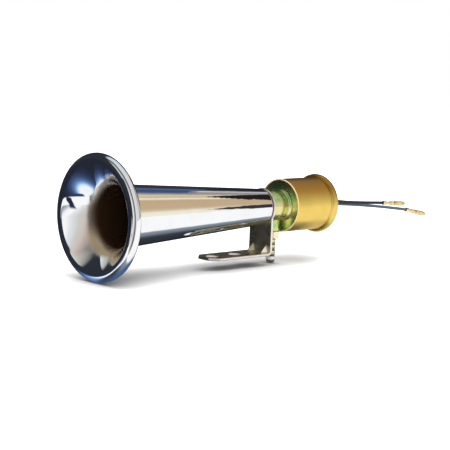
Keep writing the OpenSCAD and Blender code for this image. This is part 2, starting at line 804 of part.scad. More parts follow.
bracket();
trumpet();
throat_gasket();
hollow_bolt();
reed_block();
reed_tongue();
reed_clamp();
reed_screws();
valve_body();
inlet_bung();
barb_gasket();
hose_barb();
valve_seat();
body_gasket();
guide_tube();
plunger();
seat_pad();
return_spring();
fixed_core();
front_plate();
bobbin();
coil_winding();
coil_tape();
rear_plate();
lock_washer();
core_nut();
solder_tags();
inner_leads();
cover_can();
rear_cover();
grommet();
lead_black();
lead_blue();
terminal_black();
terminal_blue();
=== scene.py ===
"""Finished surfaces of a trumpet air horn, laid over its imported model."""

import json
import math

import bmesh
import bpy
from bpy.props import FloatProperty, FloatVectorProperty, IntProperty, PointerProperty
from mathutils import Matrix, Vector


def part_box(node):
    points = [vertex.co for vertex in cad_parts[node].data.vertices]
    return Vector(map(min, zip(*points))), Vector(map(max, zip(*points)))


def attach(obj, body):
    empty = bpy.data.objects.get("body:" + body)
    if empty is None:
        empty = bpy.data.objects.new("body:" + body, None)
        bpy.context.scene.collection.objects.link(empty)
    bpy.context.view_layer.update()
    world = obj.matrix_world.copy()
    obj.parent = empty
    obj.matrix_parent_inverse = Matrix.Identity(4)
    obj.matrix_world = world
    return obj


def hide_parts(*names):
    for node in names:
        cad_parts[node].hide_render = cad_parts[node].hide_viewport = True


bl_info = {
    "name": "Air Horn",
    "version": (1, 0, 0),
    "blender": (4, 5, 0),
    "location": "View3D > Sidebar > Air Horn",
    "description": "Makes the finished surfaces of a trumpet air horn on its bracket",
    "category": "Object",
}

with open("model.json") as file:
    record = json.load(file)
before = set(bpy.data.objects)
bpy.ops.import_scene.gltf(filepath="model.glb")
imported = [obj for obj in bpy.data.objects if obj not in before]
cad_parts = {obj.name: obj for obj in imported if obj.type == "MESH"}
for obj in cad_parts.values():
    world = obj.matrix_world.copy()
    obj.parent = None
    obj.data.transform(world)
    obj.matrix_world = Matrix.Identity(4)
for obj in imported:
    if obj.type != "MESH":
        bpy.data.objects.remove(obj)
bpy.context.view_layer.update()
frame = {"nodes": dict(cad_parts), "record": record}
MM = 0.001


def box_mm(node):
    """Lowest and highest corner of a model part, in millimetres."""
    low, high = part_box(node)
    return Vector(low) / MM, Vector(high) / MM


# Places are counted in millimetres from the front face of the bracket's leg, on the horn's axis
SHEET = 2.0
BRACKET_LOW, BRACKET_HIGH = box_mm("bracket")
TRUMPET_LOW, TRUMPET_HIGH = box_mm("trumpet")
LEG_X = BRACKET_LOW.x + SHEET
FOOT_L = BRACKET_HIGH.x - LEG_X
AXIS_H = (TRUMPET_LOW.z + TRUMPET_HIGH.z) / 2
BELL_D = TRUMPET_HIGH.z - TRUMPET_LOW.z
TRUMPET_L = TRUMPET_HIGH.x - LEG_X
TURN_GAP = TRUMPET_LOW.x - LEG_X
BOLT_HOLE_R = 8.55
BARB_X = LEG_X - sum(corner.x for corner in box_mm("hose_barb")) / 2
CAN_END = LEG_X - box_mm("cover_can")[0].x
GROMMET_END = LEG_X - box_mm("grommet")[0].x
LEAD_PITCH = 3.2
FLOOR_H = TRUMPET_LOW.z - 0.1
TO_MODEL = Matrix.Diagonal((MM, MM, MM, 1)) @ Matrix.Translation((LEG_X, 0, AXIS_H))
ALONG_X = TO_MODEL @ Matrix.Rotation(math.pi / 2, 4, "Y")
BARB_UPRIGHT = TO_MODEL @ Matrix.Translation((-BARB_X, 0, 0))


def spot(x, y, z):
    """Point in metres from millimetres along the horn, to its right side and up."""
    return TO_MODEL @ Vector((x, y, z))


# Sizes and colours that a user would change


def length(name, about, mm):
    return FloatProperty(name=name, description=about, default=mm * MM, min=0, unit="LENGTH", precision=5)


def tint(name, about, rgb):
    return FloatVectorProperty(name=name, description=about, default=rgb, subtype="COLOR", size=3, min=0, max=1)


class TrumpetSizes(bpy.types.PropertyGroup):
    lip: length("Lip", "Diameter of the rolled lip's section", 8.8)
    recess: length("Recess", "Lip's front behind the model's front", 1.2)
    flare: length("Flare", "Radius of the flare on the side that shows", 110)
    bend: length("Bend", "Radius where the cone turns into the flare", 18)
    bend_at: length("Bend at", "Leg to the start of the bend", 139)
    throat: length("Throat", "Outer diameter at the small end", 28)
    wall: length("Wall", "Thickness of the spun sheet", 1.2)
    heel: length("Heel", "Radius of the rounded edge at the small end", 2)
    slope: FloatProperty(
        name="Slope",
        description="Slope of the cone against the axis",
        default=math.radians(3.6),
        subtype="ANGLE",
    )
    sides: IntProperty(name="Sides", description="Facets round the trumpet", default=240, min=24, max=360)
    plate: tint("Plate", "Colour of the plating", (0.94, 0.945, 0.955))
    # Painted shade: the near-black colour mixed in deep in the bore stands for the shade inside it
    depth: tint("Depth", "Colour of the unplated metal deep inside", (0.06, 0.03, 0.015))


class BracketSizes(bpy.types.PropertyGroup):
    width: length("Width", "Width of leg and foot", 24)
    eye: length("Eye", "Diameter of the eye that holds the horn", 29)
    eye_hole: length("Eye hole", "Diameter of the hole in the eye", 17.1)
    bend: length("Bend", "Inner radius of the bend", 2)
    corner: length("Corner", "Cut at each corner of the foot", 6.5)
    first_hole: length("First hole", "Leg to the centre of the first hole", 27.2)
    pitch: length("Pitch", "Distance between the two holes", 23)
    hole: length("Hole", "Diameter of the two holes", 9)
    dart: length("Dart", "Length of each leg of a pressed dart", 6)
    dart_width: length("Dart width", "Width of a pressed dart", 5)
    dart_pitch: length("Dart pitch", "Distance between the two darts", 14.5)
    ease: length("Ease", "Rounding of the sheared edges", 0.35)
    sheet: tint("Sheet", "Colour of the plated sheet", (0.84, 0.80, 0.66))


class ValveSizes(bpy.types.PropertyGroup):
    neck: length("Neck", "Diameter of the neck", 23.4)
    flange_at: length("Flange", "Leg to the front of the flange", 20.6)
    flange_width: length("Flange width", "Thickness of the flange", 2)
    flange_d: length("Flange diameter", "Diameter of the flange", 39.9)
    fillet: length("Fillet", "Radius between neck and flange", 3)
    boss: length("Boss", "Diameter of the boss under the neck", 12)
    drop: length("Drop", "Axis to the underside of the boss", 19.3)
    collar: length("Collar", "Width across the collar's flats", 11)
    collar_h: length("Collar height", "Height of the collar", 5.3)
    crest: length("Crest", "Diameter of the barbs' crests", 7.6)
    root: length("Root", "Diameter at the foot of each barb", 6.1)
    tooth: length("Tooth", "Length of one barb", 4.5)
    teeth: IntProperty(name="Teeth", description="Number of barbs", default=4, min=2, max=8)
    yellow: tint("Yellow", "Yellow of the passivated plating", (0.84, 0.78, 0.36))
    green: tint("Green", "Green of the passivated plating", (0.24, 0.60, 0.20))


class CanSizes(bpy.types.PropertyGroup):
    can: length("Can", "Outer diameter of the can", 42)
    wall: length("Wall", "Wall of the can", 1)
    front: length("Front", "Leg to the can's front rim", 20)
    bead: length("Bead", "Overall diameter of the rolled bead", 47.2)
    bead_r: length("Bead radius", "Radius of the bead's section", 4.2)
    sides: IntProperty(name="Sides", description="Facets round the can", default=192, min=24, max=360)
    lacquer: tint("Lacquer", "Colour of the satin lacquer", (0.90, 0.64, 0.15))
    # Painted shade: this darker colour is mixed in towards the top of the can
    top_shade: tint("Brown", "Browner lacquer towards the top", (0.42, 0.20, 0.025))
    # Painted highlight along the can's front rim
    edge: tint("Edge", "Bright edge at the can's front", (1.0, 0.76, 0.42))


class LeadSizes(bpy.types.PropertyGroup):
    lead: length("Lead", "Outer diameter of a lead", 2.5)
    bullet: length("Bullet", "Diameter of a bullet terminal", 4)
    strip: length("Strip", "Thickness of the terminal's rolled strip", 0.35)
    seam: length("Seam", "Open width of the terminal's seam", 0.35)
    black: tint("Black", "Colour of the upper sheath", (0.006, 0.006, 0.008))
    slate: tint("Slate", "Colour of the lower sheath", (0.08, 0.11, 0.16))


class StageSizes(bpy.types.PropertyGroup):
    focal: FloatProperty(
        name="Focal length", description="Lens of the camera, in millimetres", default=96.58, min=10
    )
    floor: tint("Floor", "Colour of the pale floor", (0.86, 0.86, 0.86))
    fill: FloatProperty(
        name="Fill", description="Strength of the plain light from all round", default=0.62, min=0
    )


# Shader and node helpers


class Term:
    """A shader socket that plain arithmetic works on."""

    def __init__(self, finish, socket):
        self.finish, self.socket = finish, socket

    def maths(self, operation, *others):
        """Math node of this value, then the others."""
        return self.finish.node("ShaderNodeMath", {"operation": operation}, dict(enumerate((self, *others))))

    def flipped(self, operation, other):
        """Math node of the other value, then this one."""
        return self.finish.node("ShaderNodeMath", {"operation": operation}, {0: other, 1: self})

    def __add__(self, other):
        return self.maths("ADD", other)

    def __sub__(self, other):
        return self.maths("SUBTRACT", other)

    def __mul__(self, other):
        return self.maths("MULTIPLY", other)

    def __truediv__(self, other):
        return self.maths("DIVIDE", other)

    def __pow__(self, other):
        return self.maths("POWER", other)

    def __rsub__(self, other):
        return self.flipped("SUBTRACT", other)

    def __rtruediv__(self, other):
        return self.flipped("DIVIDE", other)

    __radd__ = __add__
    __rmul__ = __mul__

    def between(self, low, high, start=0.0, end=1.0):
        """Smooth step from start to end as the value goes from low to high."""
        names = ("Value", "From Min", "From Max", "To Min", "To Max")
        values = dict(zip(names, (self, low, high, start, end)))
        return self.finish.node("ShaderNodeMapRange", {"interpolation_type": "SMOOTHSTEP"}, values)

    def ramp(self, *stops):
        """Colour by value, from (place, red, green, blue) stops."""
        return self.finish.node("ShaderNodeValToRGB", {"stops": stops}, {0: self})

    def other(self, name):
        """Another output of the same node."""
        return Term(self.finish, self.socket.node.outputs[name])


def distance(x, y, at_x=0.0, at_y=0.0):
    """Distance of two values from a point in their plane."""
    return ((x - at_x) ** 2.0 + (y - at_y) ** 2.0) ** 0.5


class Finish:
    """A material or world whose nodes are made by one method."""

    def __init__(self, owner):
        self.owner = owner
        owner.use_nodes = True
        self.nodes, self.links = owner.node_tree.nodes, owner.node_tree.links
        self.nodes.clear()
        self.kept = {}

    def node(self, kind, settings=None, sockets=None, out=0):
        """Node of a type with its settings, a ramp's stops too, and its sockets' values or links."""
        made = self.nodes.new(kind)
        settings = dict(settings or {})
        stops = settings.pop("stops", None)
        if stops:
            made.color_ramp.interpolation = "LINEAR"
            while len(made.color_ramp.elements) < len(stops):
                made.color_ramp.elements.new(1.0)
            for element, (place, *rgb) in zip(made.color_ramp.elements, stops):
                element.position, element.color = place, (*rgb, 1)
        for name, value in settings.items():
            setattr(made, name, value)
        for name, value in (sockets or {}).items():
            if isinstance(value, Term):
                self.links.new(value.socket, made.inputs[name])
            elif isinstance(made.inputs[name].default_value, (int, float)):
                made.inputs[name].default_value = value
            else:
                value = tuple(value)
                size = len(made.inputs[name].default_value)
                made.inputs[name].default_value = value if len(value) == size else (*value, 1)
        return Term(self, made.outputs[out]) if len(made.outputs) else made

    def once(self, name, make):
        """Value that is made at its first use and kept."""
        if name not in self.kept:
            self.kept[name] = make()
        return self.kept[name]

    def place(self):
        """Place on the object, in metres."""
        return self.once("place", lambda: self.node("ShaderNodeTexCoord", out="Object"))

    def axes(self):
        """Millimetres along the horn, to its right side and above its axis."""

        def make():
            x = self.node("ShaderNodeSeparateXYZ", sockets={0: self.place()})
            y, z = x.other("Y"), x.other("Z")
            return x * (1 / MM) - LEG_X, y * (1 / MM), z * (1 / MM) - AXIS_H

        return self.once("axes", make)

    def radius(self):
        """Millimetres from the horn's axis."""
        return self.once("radius", lambda: distance(*self.axes()[1:]))

    def turn(self):
        """Angle round the horn's axis, in radians, 0 at its right side."""

        def make():
            _, y, z = self.axes()
            return z.maths("ARCTAN2", y)

        return self.once("turn", make)

    def vector(self, x=0.0, y=0.0, z=0.0):
        return self.node("ShaderNodeCombineXYZ", sockets={0: x, 1: y, 2: z})

    def noise(self, where, scale, detail=3.0, rough=0.5, dimensions="3D"):
        values = {"Scale": scale, "Detail": detail, "Roughness": rough}
        values["W" if dimensions == "1D" else "Vector"] = where
        return self.node("ShaderNodeTexNoise", {"noise_dimensions": dimensions}, values)

    def mix(self, share, first, second, blend="MIX"):
        values = {0: share, 6: first, 7: second}
        return self.node("ShaderNodeMix", {"data_type": "RGBA", "blend_type": blend}, values, out=2)

    def bump(self, height, depth_mm, strength):
        values = {"Height": height, "Distance": depth_mm * MM, "Strength": strength}
        return self.node("ShaderNodeBump", sockets=values)

    def surface(self, **values):
        """Main shader; an underscore in a name stands for a blank."""
        sockets = {name.replace("_", " "): value for name, value in values.items()}
        shader = self.node("ShaderNodeBsdfPrincipled", sockets=sockets)
        self.node("ShaderNodeOutputMaterial", sockets={"Surface": shader})
        return self.owner


def shades(rgb, *factors):
    """Colours made from one by multiplying."""
    return [tuple(min(1, c * f) for c in rgb) for f in factors]


def new_finish(name):
    return Finish(bpy.data.materials.new(name))


# Painted reflection where the bore opens into the flare: light overhead, dark at the sides and gold at the foot
MOUTH_TOP, MOUTH_SIDE, MOUTH_FOOT = (0.94, 0.91, 0.88), (0.24, 0.19, 0.15), (0.60, 0.48, 0.30)


def bright_chrome(sizes):
    """Bright plating outside and on the flare, a duller mouth to the bore with a painted reflection, and
    painted shade deep in the bore behind it.
    """
    f = new_finish("bright_chrome")
    x, _, z = f.axes()
    radius, slope = f.radius(), math.tan(sizes.slope)
    bend, start = sizes.bend / MM, sizes.bend_at / MM
    wall_mid = (sizes.throat - sizes.wall) / MM / 2
    in_cone = (wall_mid + x * slope - radius).between(-0.2, 0.2)
    # The sheet's inner side in the bend is the one further from the bend's centre
    bend_h = wall_mid + start * slope + bend
    over = radius - bend_h
    from_centre = distance(x, over, start - 1.1, -0.6)
    near_bend = x.between(start - 3, start - 1) * over.between(-4, -6)
    in_bend = from_centre.between(bend - 0.9, bend - 0.5) * near_bend
    inside = in_cone.maths("MAXIMUM", in_bend)
    mouth = inside * (x + z.between(0, -26, 0, -4)).between(start + 11, start + 7)
    # Painted shade deep in the bore
    deep = inside * x.between(start + 10, start + 2)
    cloud = f.noise(f.place(), 60)
    film = f.mix(cloud.between(0.4, 0.7), *shades(sizes.plate, 1, 0.96))
    # Painted reflection on the mouth: light at the top, dark at the sides, gold at the foot
    mouth_reflection = f.mix(z.between(4, 16), MOUTH_SIDE, MOUTH_TOP)
    mouth_reflection = f.mix(z.between(-6, -18), mouth_reflection, MOUTH_FOOT)
    colour = f.mix(deep, f.mix(mouth, film, mouth_reflection), sizes.depth)
    rough = cloud.between(0.3, 0.8, 0.012, 0.03) + mouth * 0.25
    drawn = f.noise(f.vector(x * 0.02, f.turn() * 0.6, radius * 0.02), 3, 2)
    rings = f.noise(x * 0.9, 1.0, 2, dimensions="1D")
    # The bell is smoother than the cone, and the bore shows no waves
    height = (drawn * 0.7 + rings * 0.006) * x.between(start + 11, start - 11, 0.1, 1) * (1 - inside)
    relief = f.bump(height, 0.25, 0.5)
    return f.surface(Base_Color=colour, Metallic=1 - mouth * 0.5, Roughness=rough, Normal=relief)


def gold_finish(sizes):
    """Satin gold lacquer on a drawn can: orange-peel and drawing marks, with painted shade towards the top and
    a painted highlight along the front rim.
    """
    f = new_finish("gold_finish")
    x, _, z = f.axes()
    cloud = f.noise(f.place(), 60)
    drawn = f.noise(f.vector(x * 0.012, f.turn() * 7, f.radius() * 0.1), 4, 3)
    speck = f.noise(f.place(), 2400, 2)
    tone = f.mix(cloud.between(0.35, 0.7), *shades(sizes.lacquer, 1.03, 0.95))
    tone = f.mix(drawn.between(0.45, 0.75, 0, 0.16), tone, shades(sizes.lacquer, 0.85)[0])
    # Painted shade towards the top of the can
    tone = f.mix(z.between(1, 16), tone, sizes.top_shade)
    # Painted highlight: a light, less metallic band along the front rim
    front = -sizes.front / MM
    edge = x.between(front - 0.6, front - 0.3)
    tone = f.mix(edge, tone, sizes.edge)
    rough = cloud.between(0.3, 0.75, 0.27, 0.32) + drawn * 0.03
    relief = f.bump(speck * 0.5 + drawn * 0.2, 0.012, 0.5)
    return f.surface(
        Base_Color=tone,
        Metallic=0.9 - edge * 0.7,
        Roughness=rough,
        Normal=relief,
        Coat_Weight=0.15,
        Coat_Roughness=0.2,
    )


def zinc_sheet(sizes):
    """Plated sheet: clouds, rolling lines, olive and pink tarnish, and painted highlights on the cut edges, the
    bores and the near dart.
    """
    f = new_finish("zinc_sheet")
    x, y, z = f.axes()
    cloud = f.noise(f.place(), 140, 4, 0.55)
    patch = f.noise(f.place(), 55, 2)
    rolled = f.noise(f.vector(x * 0.05, y * 3.0, z * 0.05), 4, 3, 0.7)
    scratch = f.noise(f.vector(x * 1.2 + z, y * 0.08, z * 1.2 - x), 6, 1)
    olive, pink = (0.64, 0.56, 0.28), (0.90, 0.74, 0.68)
    edge_highlight_tone, bore_dart_highlight_tone = (1.0, 0.88, 0.82), (1.0, 0.92, 0.90)
    tone = f.mix(patch.between(0.38, 0.6, 0.2, 0.8), sizes.sheet, olive)
    tone = f.mix(cloud.between(0.55, 0.75, 0, 0.5), tone, pink)
    aside, half, hole = y.maths("ABSOLUTE"), sizes.width / MM / 2, sizes.hole / MM / 2
    corner = FOOT_L - sizes.corner / MM + half
    # Painted highlight on the sheared edges
    cut = (x + aside).between(corner - 0.6, corner - 0.2)
    sheared = aside.between(half - 0.5, half - 0.1).maths("MAXIMUM", cut)
    tone = f.mix(sheared, tone, edge_highlight_tone)
    # Painted highlight on the walls of the two holes and on the near dart
    half_pitch = sizes.pitch / MM / 2
    along = (x - sizes.first_hole / MM - half_pitch).maths("ABSOLUTE") - half_pitch
    bored = distance(along, y).between(hole + 0.4, hole + 0.1)
    dart = y.between(3.5, 4.5) * x.between(0.4, 1.2) * (z + AXIS_H - SHEET).between(0.4, 1.2)
    bore_dart_highlight = bored.maths("MAXIMUM", dart)
    tone = f.mix(bore_dart_highlight, tone, bore_dart_highlight_tone)
    rough = cloud.between(0.3, 0.7, 0.24, 0.40) + scratch.between(0.62, 0.7, 0, 0.08)
    relief = f.bump(rolled * 0.6 + cloud * 0.4 - scratch.between(0.66, 0.72, 0, 0.5), 0.03, 0.55)
    return f.surface(Base_Color=tone, Metallic=0.97 - bore_dart_highlight * 0.55, Roughness=rough, Normal=relief)


def passivated(name, yellow, green, blush, spread, metallic=0.94, barb=False):
    """Turned zinc in yellow-green passivation with painted shade towards the top; a barb instead has painted
    shade in its grooves and a painted highlight towards its tip.
    """
    f = new_finish(name)
    x, y, z = f.axes()
    swirl = f.noise(f.place(), 60, 2)
    sweep = f.noise(f.vector(f.turn() * 0.8, x * 0.03, f.radius() * 0.08), 1.2, 2)
    tone = f.mix((swirl * 0.4 + sweep * 0.6).between(0.42 - spread, 0.58 + spread), yellow, green)
    tone = f.mix(sweep.between(0.56, 0.7, 0, 0.6), tone, blush)
    if barb:
        # Painted highlight: lighter and less metallic towards the tip
        tip = z.between(-34, -41)
        # Painted shade in the grooves at the foot of each barb
        groove_shade = distance(x, y, -BARB_X).between(3.62, 3.3)
        tone = f.mix(tip, tone, (1.0, 1.0, 0.96))
        tone = f.mix(groove_shade, tone, shades(blush, 0.14)[0])
        metallic = metallic - tip * 0.4
    else:
        # Painted shade towards the top
        tone = f.mix(z.between(8, 18, 0, 0.7), tone, shades(blush, 0.3)[0])
    lathe = f.noise(f.radius() * 3.1 + x * 3.4, 1.0, 3, 0.7, dimensions="1D")
    lines = f.noise(f.radius() * 9 + x * 9, 1.0, 2, 0.6, dimensions="1D")
    rough = swirl.between(0.3, 0.7, 0.14, 0.24)
    relief = f.bump(lathe * 0.6 + lines * 0.4, 0.03, 0.5)
    return f.surface(Base_Color=tone, Metallic=metallic, Roughness=rough, Normal=relief)


def turned_metal(name, tone, stain, grain=3.0):
    """Machined metal with lathe lines round the axis and a light tarnish."""
    f = new_finish(name)
    x, _, _ = f.axes()
    cloud = f.noise(f.place(), 130, 4, 0.6)
    lines = f.noise(x * grain + f.radius() * grain, 1.0, 3, 0.7, dimensions="1D")
    colour = f.mix(cloud.between(0.45, 0.72, 0, 0.7), tone, stain)
    rough = cloud.between(0.3, 0.7, 0.22, 0.36)
    return f.surface(Base_Color=colour, Metallic=1.0, Roughness=rough, Normal=f.bump(lines, 0.03, 0.5))


def stamped_brass():
    """Bright stamped strip with clouds of tarnish and rolling lines."""
    f = new_finish("terminal_brass")
    cloud = f.noise(f.place(), 320, 4, 0.6)
    lines = f.noise(f.vector(*[a * k for a, k in zip(f.axes(), (0.4, 5, 5))]), 3, 2)
    tone = f.mix(cloud.between(0.4, 0.7), (1.0, 0.80, 0.42), (0.80, 0.55, 0.19))
    rough = cloud.between(0.3, 0.7, 0.12, 0.24)
    return f.surface(Base_Color=tone, Metallic=1.0, Roughness=rough, Normal=f.bump(lines, 0.015, 0.5))


def sheath(name, tone, bloom):
    """Extruded sheath: smooth, with faint die lines and a dusty bloom."""
    f = new_finish(name)
    x, y, z = f.axes()
    dust = f.noise(f.place(), 420, 3, 0.6)
    drag = f.noise(f.vector(x * 0.1, y * 4, z * 4), 2, 2)
    colour = f.mix(dust.between(0.5, 0.8, 0, 0.5), tone, bloom)
    rough = dust.between(0.3, 0.7, 0.34, 0.5)
    return f.surface(Base_Color=colour, Roughness=rough, Normal=f.bump(drag * 0.6 + dust * 0.4, 0.03, 0.5))


def moulded(name, tone, fleck, rough=(0.5, 0.7), scale=500, depth=0.03):
    """Moulded or pressed stuff: a fine speckle and a matt skin."""
    f = new_finish(name)
    fine = f.noise(f.place(), scale, 4, 0.65)
    cloud = f.noise(f.place(), scale / 8, 2)
    colour = f.mix(fine.between(0.45, 0.7, 0, 0.7), tone, fleck)
    spread = cloud.between(0.3, 0.7, *rough)
    return f.surface(Base_Color=colour, Roughness=spread, Normal=f.bump(fine, depth, 0.6))


def wound(name, tone, shade, pitch, depth, metallic, rough):
    """Wire or tape wound round the coil, its turns side by side along the axis."""
    f = new_finish(name)
    x, _, _ = f.axes()
    lay = (x * (2 * math.pi / pitch) + f.turn()).maths("SINE")
    cloud = f.noise(f.place(), 300, 3)
    # Painted shade: the darker colour between the turns; its cloud patches below are uneven tone
    colour = f.mix(lay.between(-1, 1), shade, tone)
    colour = f.mix(cloud.between(0.45, 0.75, 0, 0.4), colour, shade)
    spread = cloud.between(0.3, 0.7, *rough)
    return f.surface(Base_Color=colour, Metallic=metallic, Roughness=spread, Normal=f.bump(lay, depth, 0.6))


FINISHES = {}


def make_finishes(scene):
    """Every finish of the record's slots, by the slot's name."""
    valve, leads = scene.horn_valve, scene.horn_leads
    pale = (0.97, 0.93, 0.70), (0.86, 0.82, 0.46), (0.98, 0.84, 0.62)
    FINISHES.update(
        bright_chrome=bright_chrome(scene.horn_trumpet),
        gold_finish=gold_finish(scene.horn_can),
        zinc_sheet=zinc_sheet(scene.horn_bracket),
        passivated_zinc=passivated("passivated_zinc", valve.yellow, valve.green, (0.78, 0.62, 0.36), 0.02),
        pale_zinc=passivated("pale_zinc", *pale, 0.08, 0.6, barb=True),
        turned_brass=turned_metal("turned_brass", (0.80, 0.58, 0.22), (0.52, 0.33, 0.12)),
        terminal_brass=stamped_brass(),
        spring_bronze=turned_metal("spring_bronze", (0.66, 0.40, 0.20), (0.46, 0.25, 0.11), grain=0.6),
        plain_steel=turned_metal("plain_steel", (0.62, 0.62, 0.61), (0.42, 0.40, 0.38)),
        copper_wire=wound("copper_wire", (0.56, 0.22, 0.08), (0.22, 0.07, 0.03), 0.5, 0.12, 0.6, (0.25, 0.4)),
        black_tape=wound("black_tape", (0.035, 0.034, 0.032), (0.012,) * 3, 9.0, 0.06, 0.0, (0.6, 0.8)),
        bobbin_nylon=moulded("bobbin_nylon", (0.80, 0.76, 0.64), (0.70, 0.64, 0.50), (0.4, 0.55)),
        fibre=moulded("fibre", (0.46, 0.34, 0.20), (0.30, 0.20, 0.11), (0.6, 0.8), 900),
        black_rubber=moulded("black_rubber", (0.018, 0.018, 0.018), (0.035, 0.034, 0.033), (0.55, 0.75), 700),
        black_sheath=sheath("black_sheath", leads.black, (0.016, 0.016, 0.018)),
        slate_sheath=sheath("slate_sheath", leads.slate, (0.09, 0.11, 0.16)),
    )


# Making of pieces


def arc(along, height, radius, start, end, steps):
    """Points of an arc in the plane of axis and radius, angles in degrees from the bell's direction."""
    turns = [math.radians(start + (end - start) * i / steps) for i in range(steps + 1)]
    return [(along + radius * math.cos(a), height + radius * math.sin(a)) for a in turns]


def eased(points, radius, sharp=24, steps=3):
    """Closed outline with its corners rounded."""
    out = []
    for i, point in enumerate(points):
        here = Vector(point)
        back, on = Vector(points[i - 1]) - here, Vector(points[(i + 1) % len(points)]) - here
        if back.length < 1e-5:
            continue
        bend = back.angle(-on, 0)
        if math.degrees(bend) < sharp:
            out.append(tuple(point))
            continue
        reach = min(radius * math.tan(bend / 2), 0.45 * back.length, 0.45 * on.length)
        start, end = here + back.normalized() * reach, here + on.normalized() * reach
        for k in range(steps + 1):
            t = k / steps
            out.append(tuple(start * (1 - t) ** 2 + here * (2 * t * (1 - t)) + end * t * t))
    return out


def node_tree(name, inputs):
    """Empty geometry tree with named inputs, its start node and its end node."""
    tree = bpy.data.node_groups.new(name, "GeometryNodeTree")
    tree.interface.new_socket("Geometry", in_out="INPUT", socket_type="NodeSocketGeometry")
    for label, kind in inputs:
        tree.interface.new_socket(label, in_out="INPUT", socket_type="NodeSocket" + kind)
    tree.interface.new_socket("Geometry", in_out="OUTPUT", socket_type="NodeSocketGeometry")
    return tree, tree.nodes.new("NodeGroupInput"), tree.nodes.new("NodeGroupOutput")


def wired(tree, kind, links=(), **settings):
    """Node of a geometry tree with its links and settings."""
    made = tree.nodes.new(kind)
    for name, value in settings.items():
        setattr(made, name, value)
    for name, source in links:
        if isinstance(source, bpy.types.NodeSocket):
            tree.links.new(source, made.inputs[name])
        else:
            made.inputs[name].default_value = source
    return made


def completed(tree, last, start, end):
    """Ends a geometry tree: makes its instances real and sets the finish from its input."""
    real = wired(tree, "GeometryNodeRealizeInstances", [("Geometry", last.outputs[0])])
    done = wired(
        tree,
        "GeometryNodeSetMaterial",
        [("Geometry", real.outputs[0]), ("Material", start.outputs["Finish"])],
    )
    tree.links.new(done.outputs[0], end.inputs[0])
    return tree


def turning_tree():
    """Turns a profile round the axis: sides, core radius and finish are inputs."""
    tree = bpy.data.node_groups.get("turning")
    if tree:
        return tree
    tree, start, end = node_tree("turning", [("Sides", "Int"), ("Core", "Float"), ("Finish", "Material")])
    circle = wired(
        tree,
        "GeometryNodeCurvePrimitiveCircle",
        [("Resolution", start.outputs["Sides"]), ("Radius", start.outputs["Core"])],
    )
    level = wired(tree, "GeometryNodeSetCurveNormal", [("Curve", circle.outputs[0])], mode="Z_UP")
    line = wired(tree, "GeometryNodeMeshToCurve", [("Mesh", start.outputs["Geometry"])])
    swept = wired(
        tree, "GeometryNodeCurveToMesh", [("Curve", level.outputs[0]), ("Profile Curve", line.outputs[0])]
    )
    return completed(tree, swept, start, end)


def row_tree():
    """Repeats a piece along the upright axis: count, pitch and finish are inputs."""
    tree, start, end = node_tree("row", [("Count", "Int"), ("Pitch", "Vector"), ("Finish", "Material")])
    line = wired(
        tree, "GeometryNodeMeshLine", [("Count", start.outputs["Count"]), ("Offset", start.outputs["Pitch"])]
    )
    row = wired(
        tree,
        "GeometryNodeInstanceOnPoints",
        [("Points", line.outputs[0]), ("Instance", start.outputs["Geometry"])],
    )
    return completed(tree, row, start, end)


def holder(name, verts, edges=(), faces=()):
    """Piece with a mesh of its own in the scene."""
    mesh = bpy.data.meshes.new(name)
    mesh.from_pydata(verts, edges, faces)
    piece = bpy.data.objects.new(name, mesh)
    bpy.context.scene.collection.objects.link(piece)
    return piece


def baked(piece):
    """Replaces a piece's mesh by what its modifiers make, and removes them."""
    bpy.context.view_layer.update()
    mesh = bpy.data.meshes.new_from_object(piece.evaluated_get(bpy.context.evaluated_depsgraph_get()))
    piece.modifiers.clear()
    piece.data = mesh
    return piece


def grown(piece, tree, **inputs):
    """Runs a geometry tree on a piece; its inputs are set by their sockets' identifiers."""
    modifier = piece.modifiers.new("growth", "NODES")
    modifier.node_group = tree
    for item in tree.interface.items_tree:
        if item.item_type == "SOCKET" and item.in_out == "INPUT" and item.name in inputs:
            modifier[item.identifier] = inputs[item.name]
    return baked(piece)


def wrapped(rings, around):
    """Faces over rings of points, with the last ring joined to the first."""
    faces = []
    for i in range(rings):
        for k in range(around):
            on, beside = (i + 1) % rings * around, (k + 1) % around
            faces.append((i * around + k, i * around + beside, on + beside, on + k))
    return faces


def settle(piece, matrix=None, slot=None, sharp=32, weld=True):
    """Closes a piece's seams, faces it outwards, puts it in its place and gives it its finish."""
    shape = bmesh.new()
    shape.from_mesh(piece.data)
    if weld:
        bmesh.ops.remove_doubles(shape, verts=shape.verts, dist=2e-4)
        bmesh.ops.dissolve_degenerate(shape, edges=shape.edges, dist=1e-5)
    bmesh.ops.recalc_face_normals(shape, faces=shape.faces)
    shape.to_mesh(piece.data)
    shape.free()
    if matrix is not None:
        piece.data.transform(matrix)
    piece.data.shade_smooth()
    if sharp:
        piece.data.set_sharp_from_angle(angle=math.radians(sharp))
    if slot:
        finish(piece, slot)
    return piece


def finish(piece, slot):
    """Gives a piece the finish of its slot."""
    piece.data.materials.clear()
    piece.data.materials.append(FINISHES[slot])


def turned(name, outline, slot, sides=128, matrix=ALONG_X, closed=True, sharp=32):
    """Solid turned from [along, radius] points in millimetres."""
    core = sum(r for _, r in outline) / len(outline)
    verts = [(r - core, -along, 0) for along, r in outline]
    edges = [(i, i + 1) for i in range(len(verts) - 1)]
    if closed:
        edges.append((len(verts) - 1, 0))
    piece = holder(name, verts, edges)
    grown(piece, turning_tree(), Sides=sides, Core=core, Finish=FINISHES[slot])
    return settle(piece, matrix, slot, sharp)


def stands_for(piece, body, node):
    """Lets a piece ride on its body in place of a model part."""
    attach(piece, body)
    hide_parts(node)


# Stage


def camera_matrix():
    """Place in metres and turn of the camera, from its directions to the right and to the back."""
    right, back = Vector((-0.7308, 0.6814, 0.0399)), Vector((0.6800, 0.7217, 0.1294))
    up = back.cross(right).normalized()
    right = up.cross(back).normalized()
    turn = Matrix((right, up, back.normalized())).transposed().to_4x4()
    return Matrix.Translation((0.6207, 0.6596, 0.1433)) @ turn


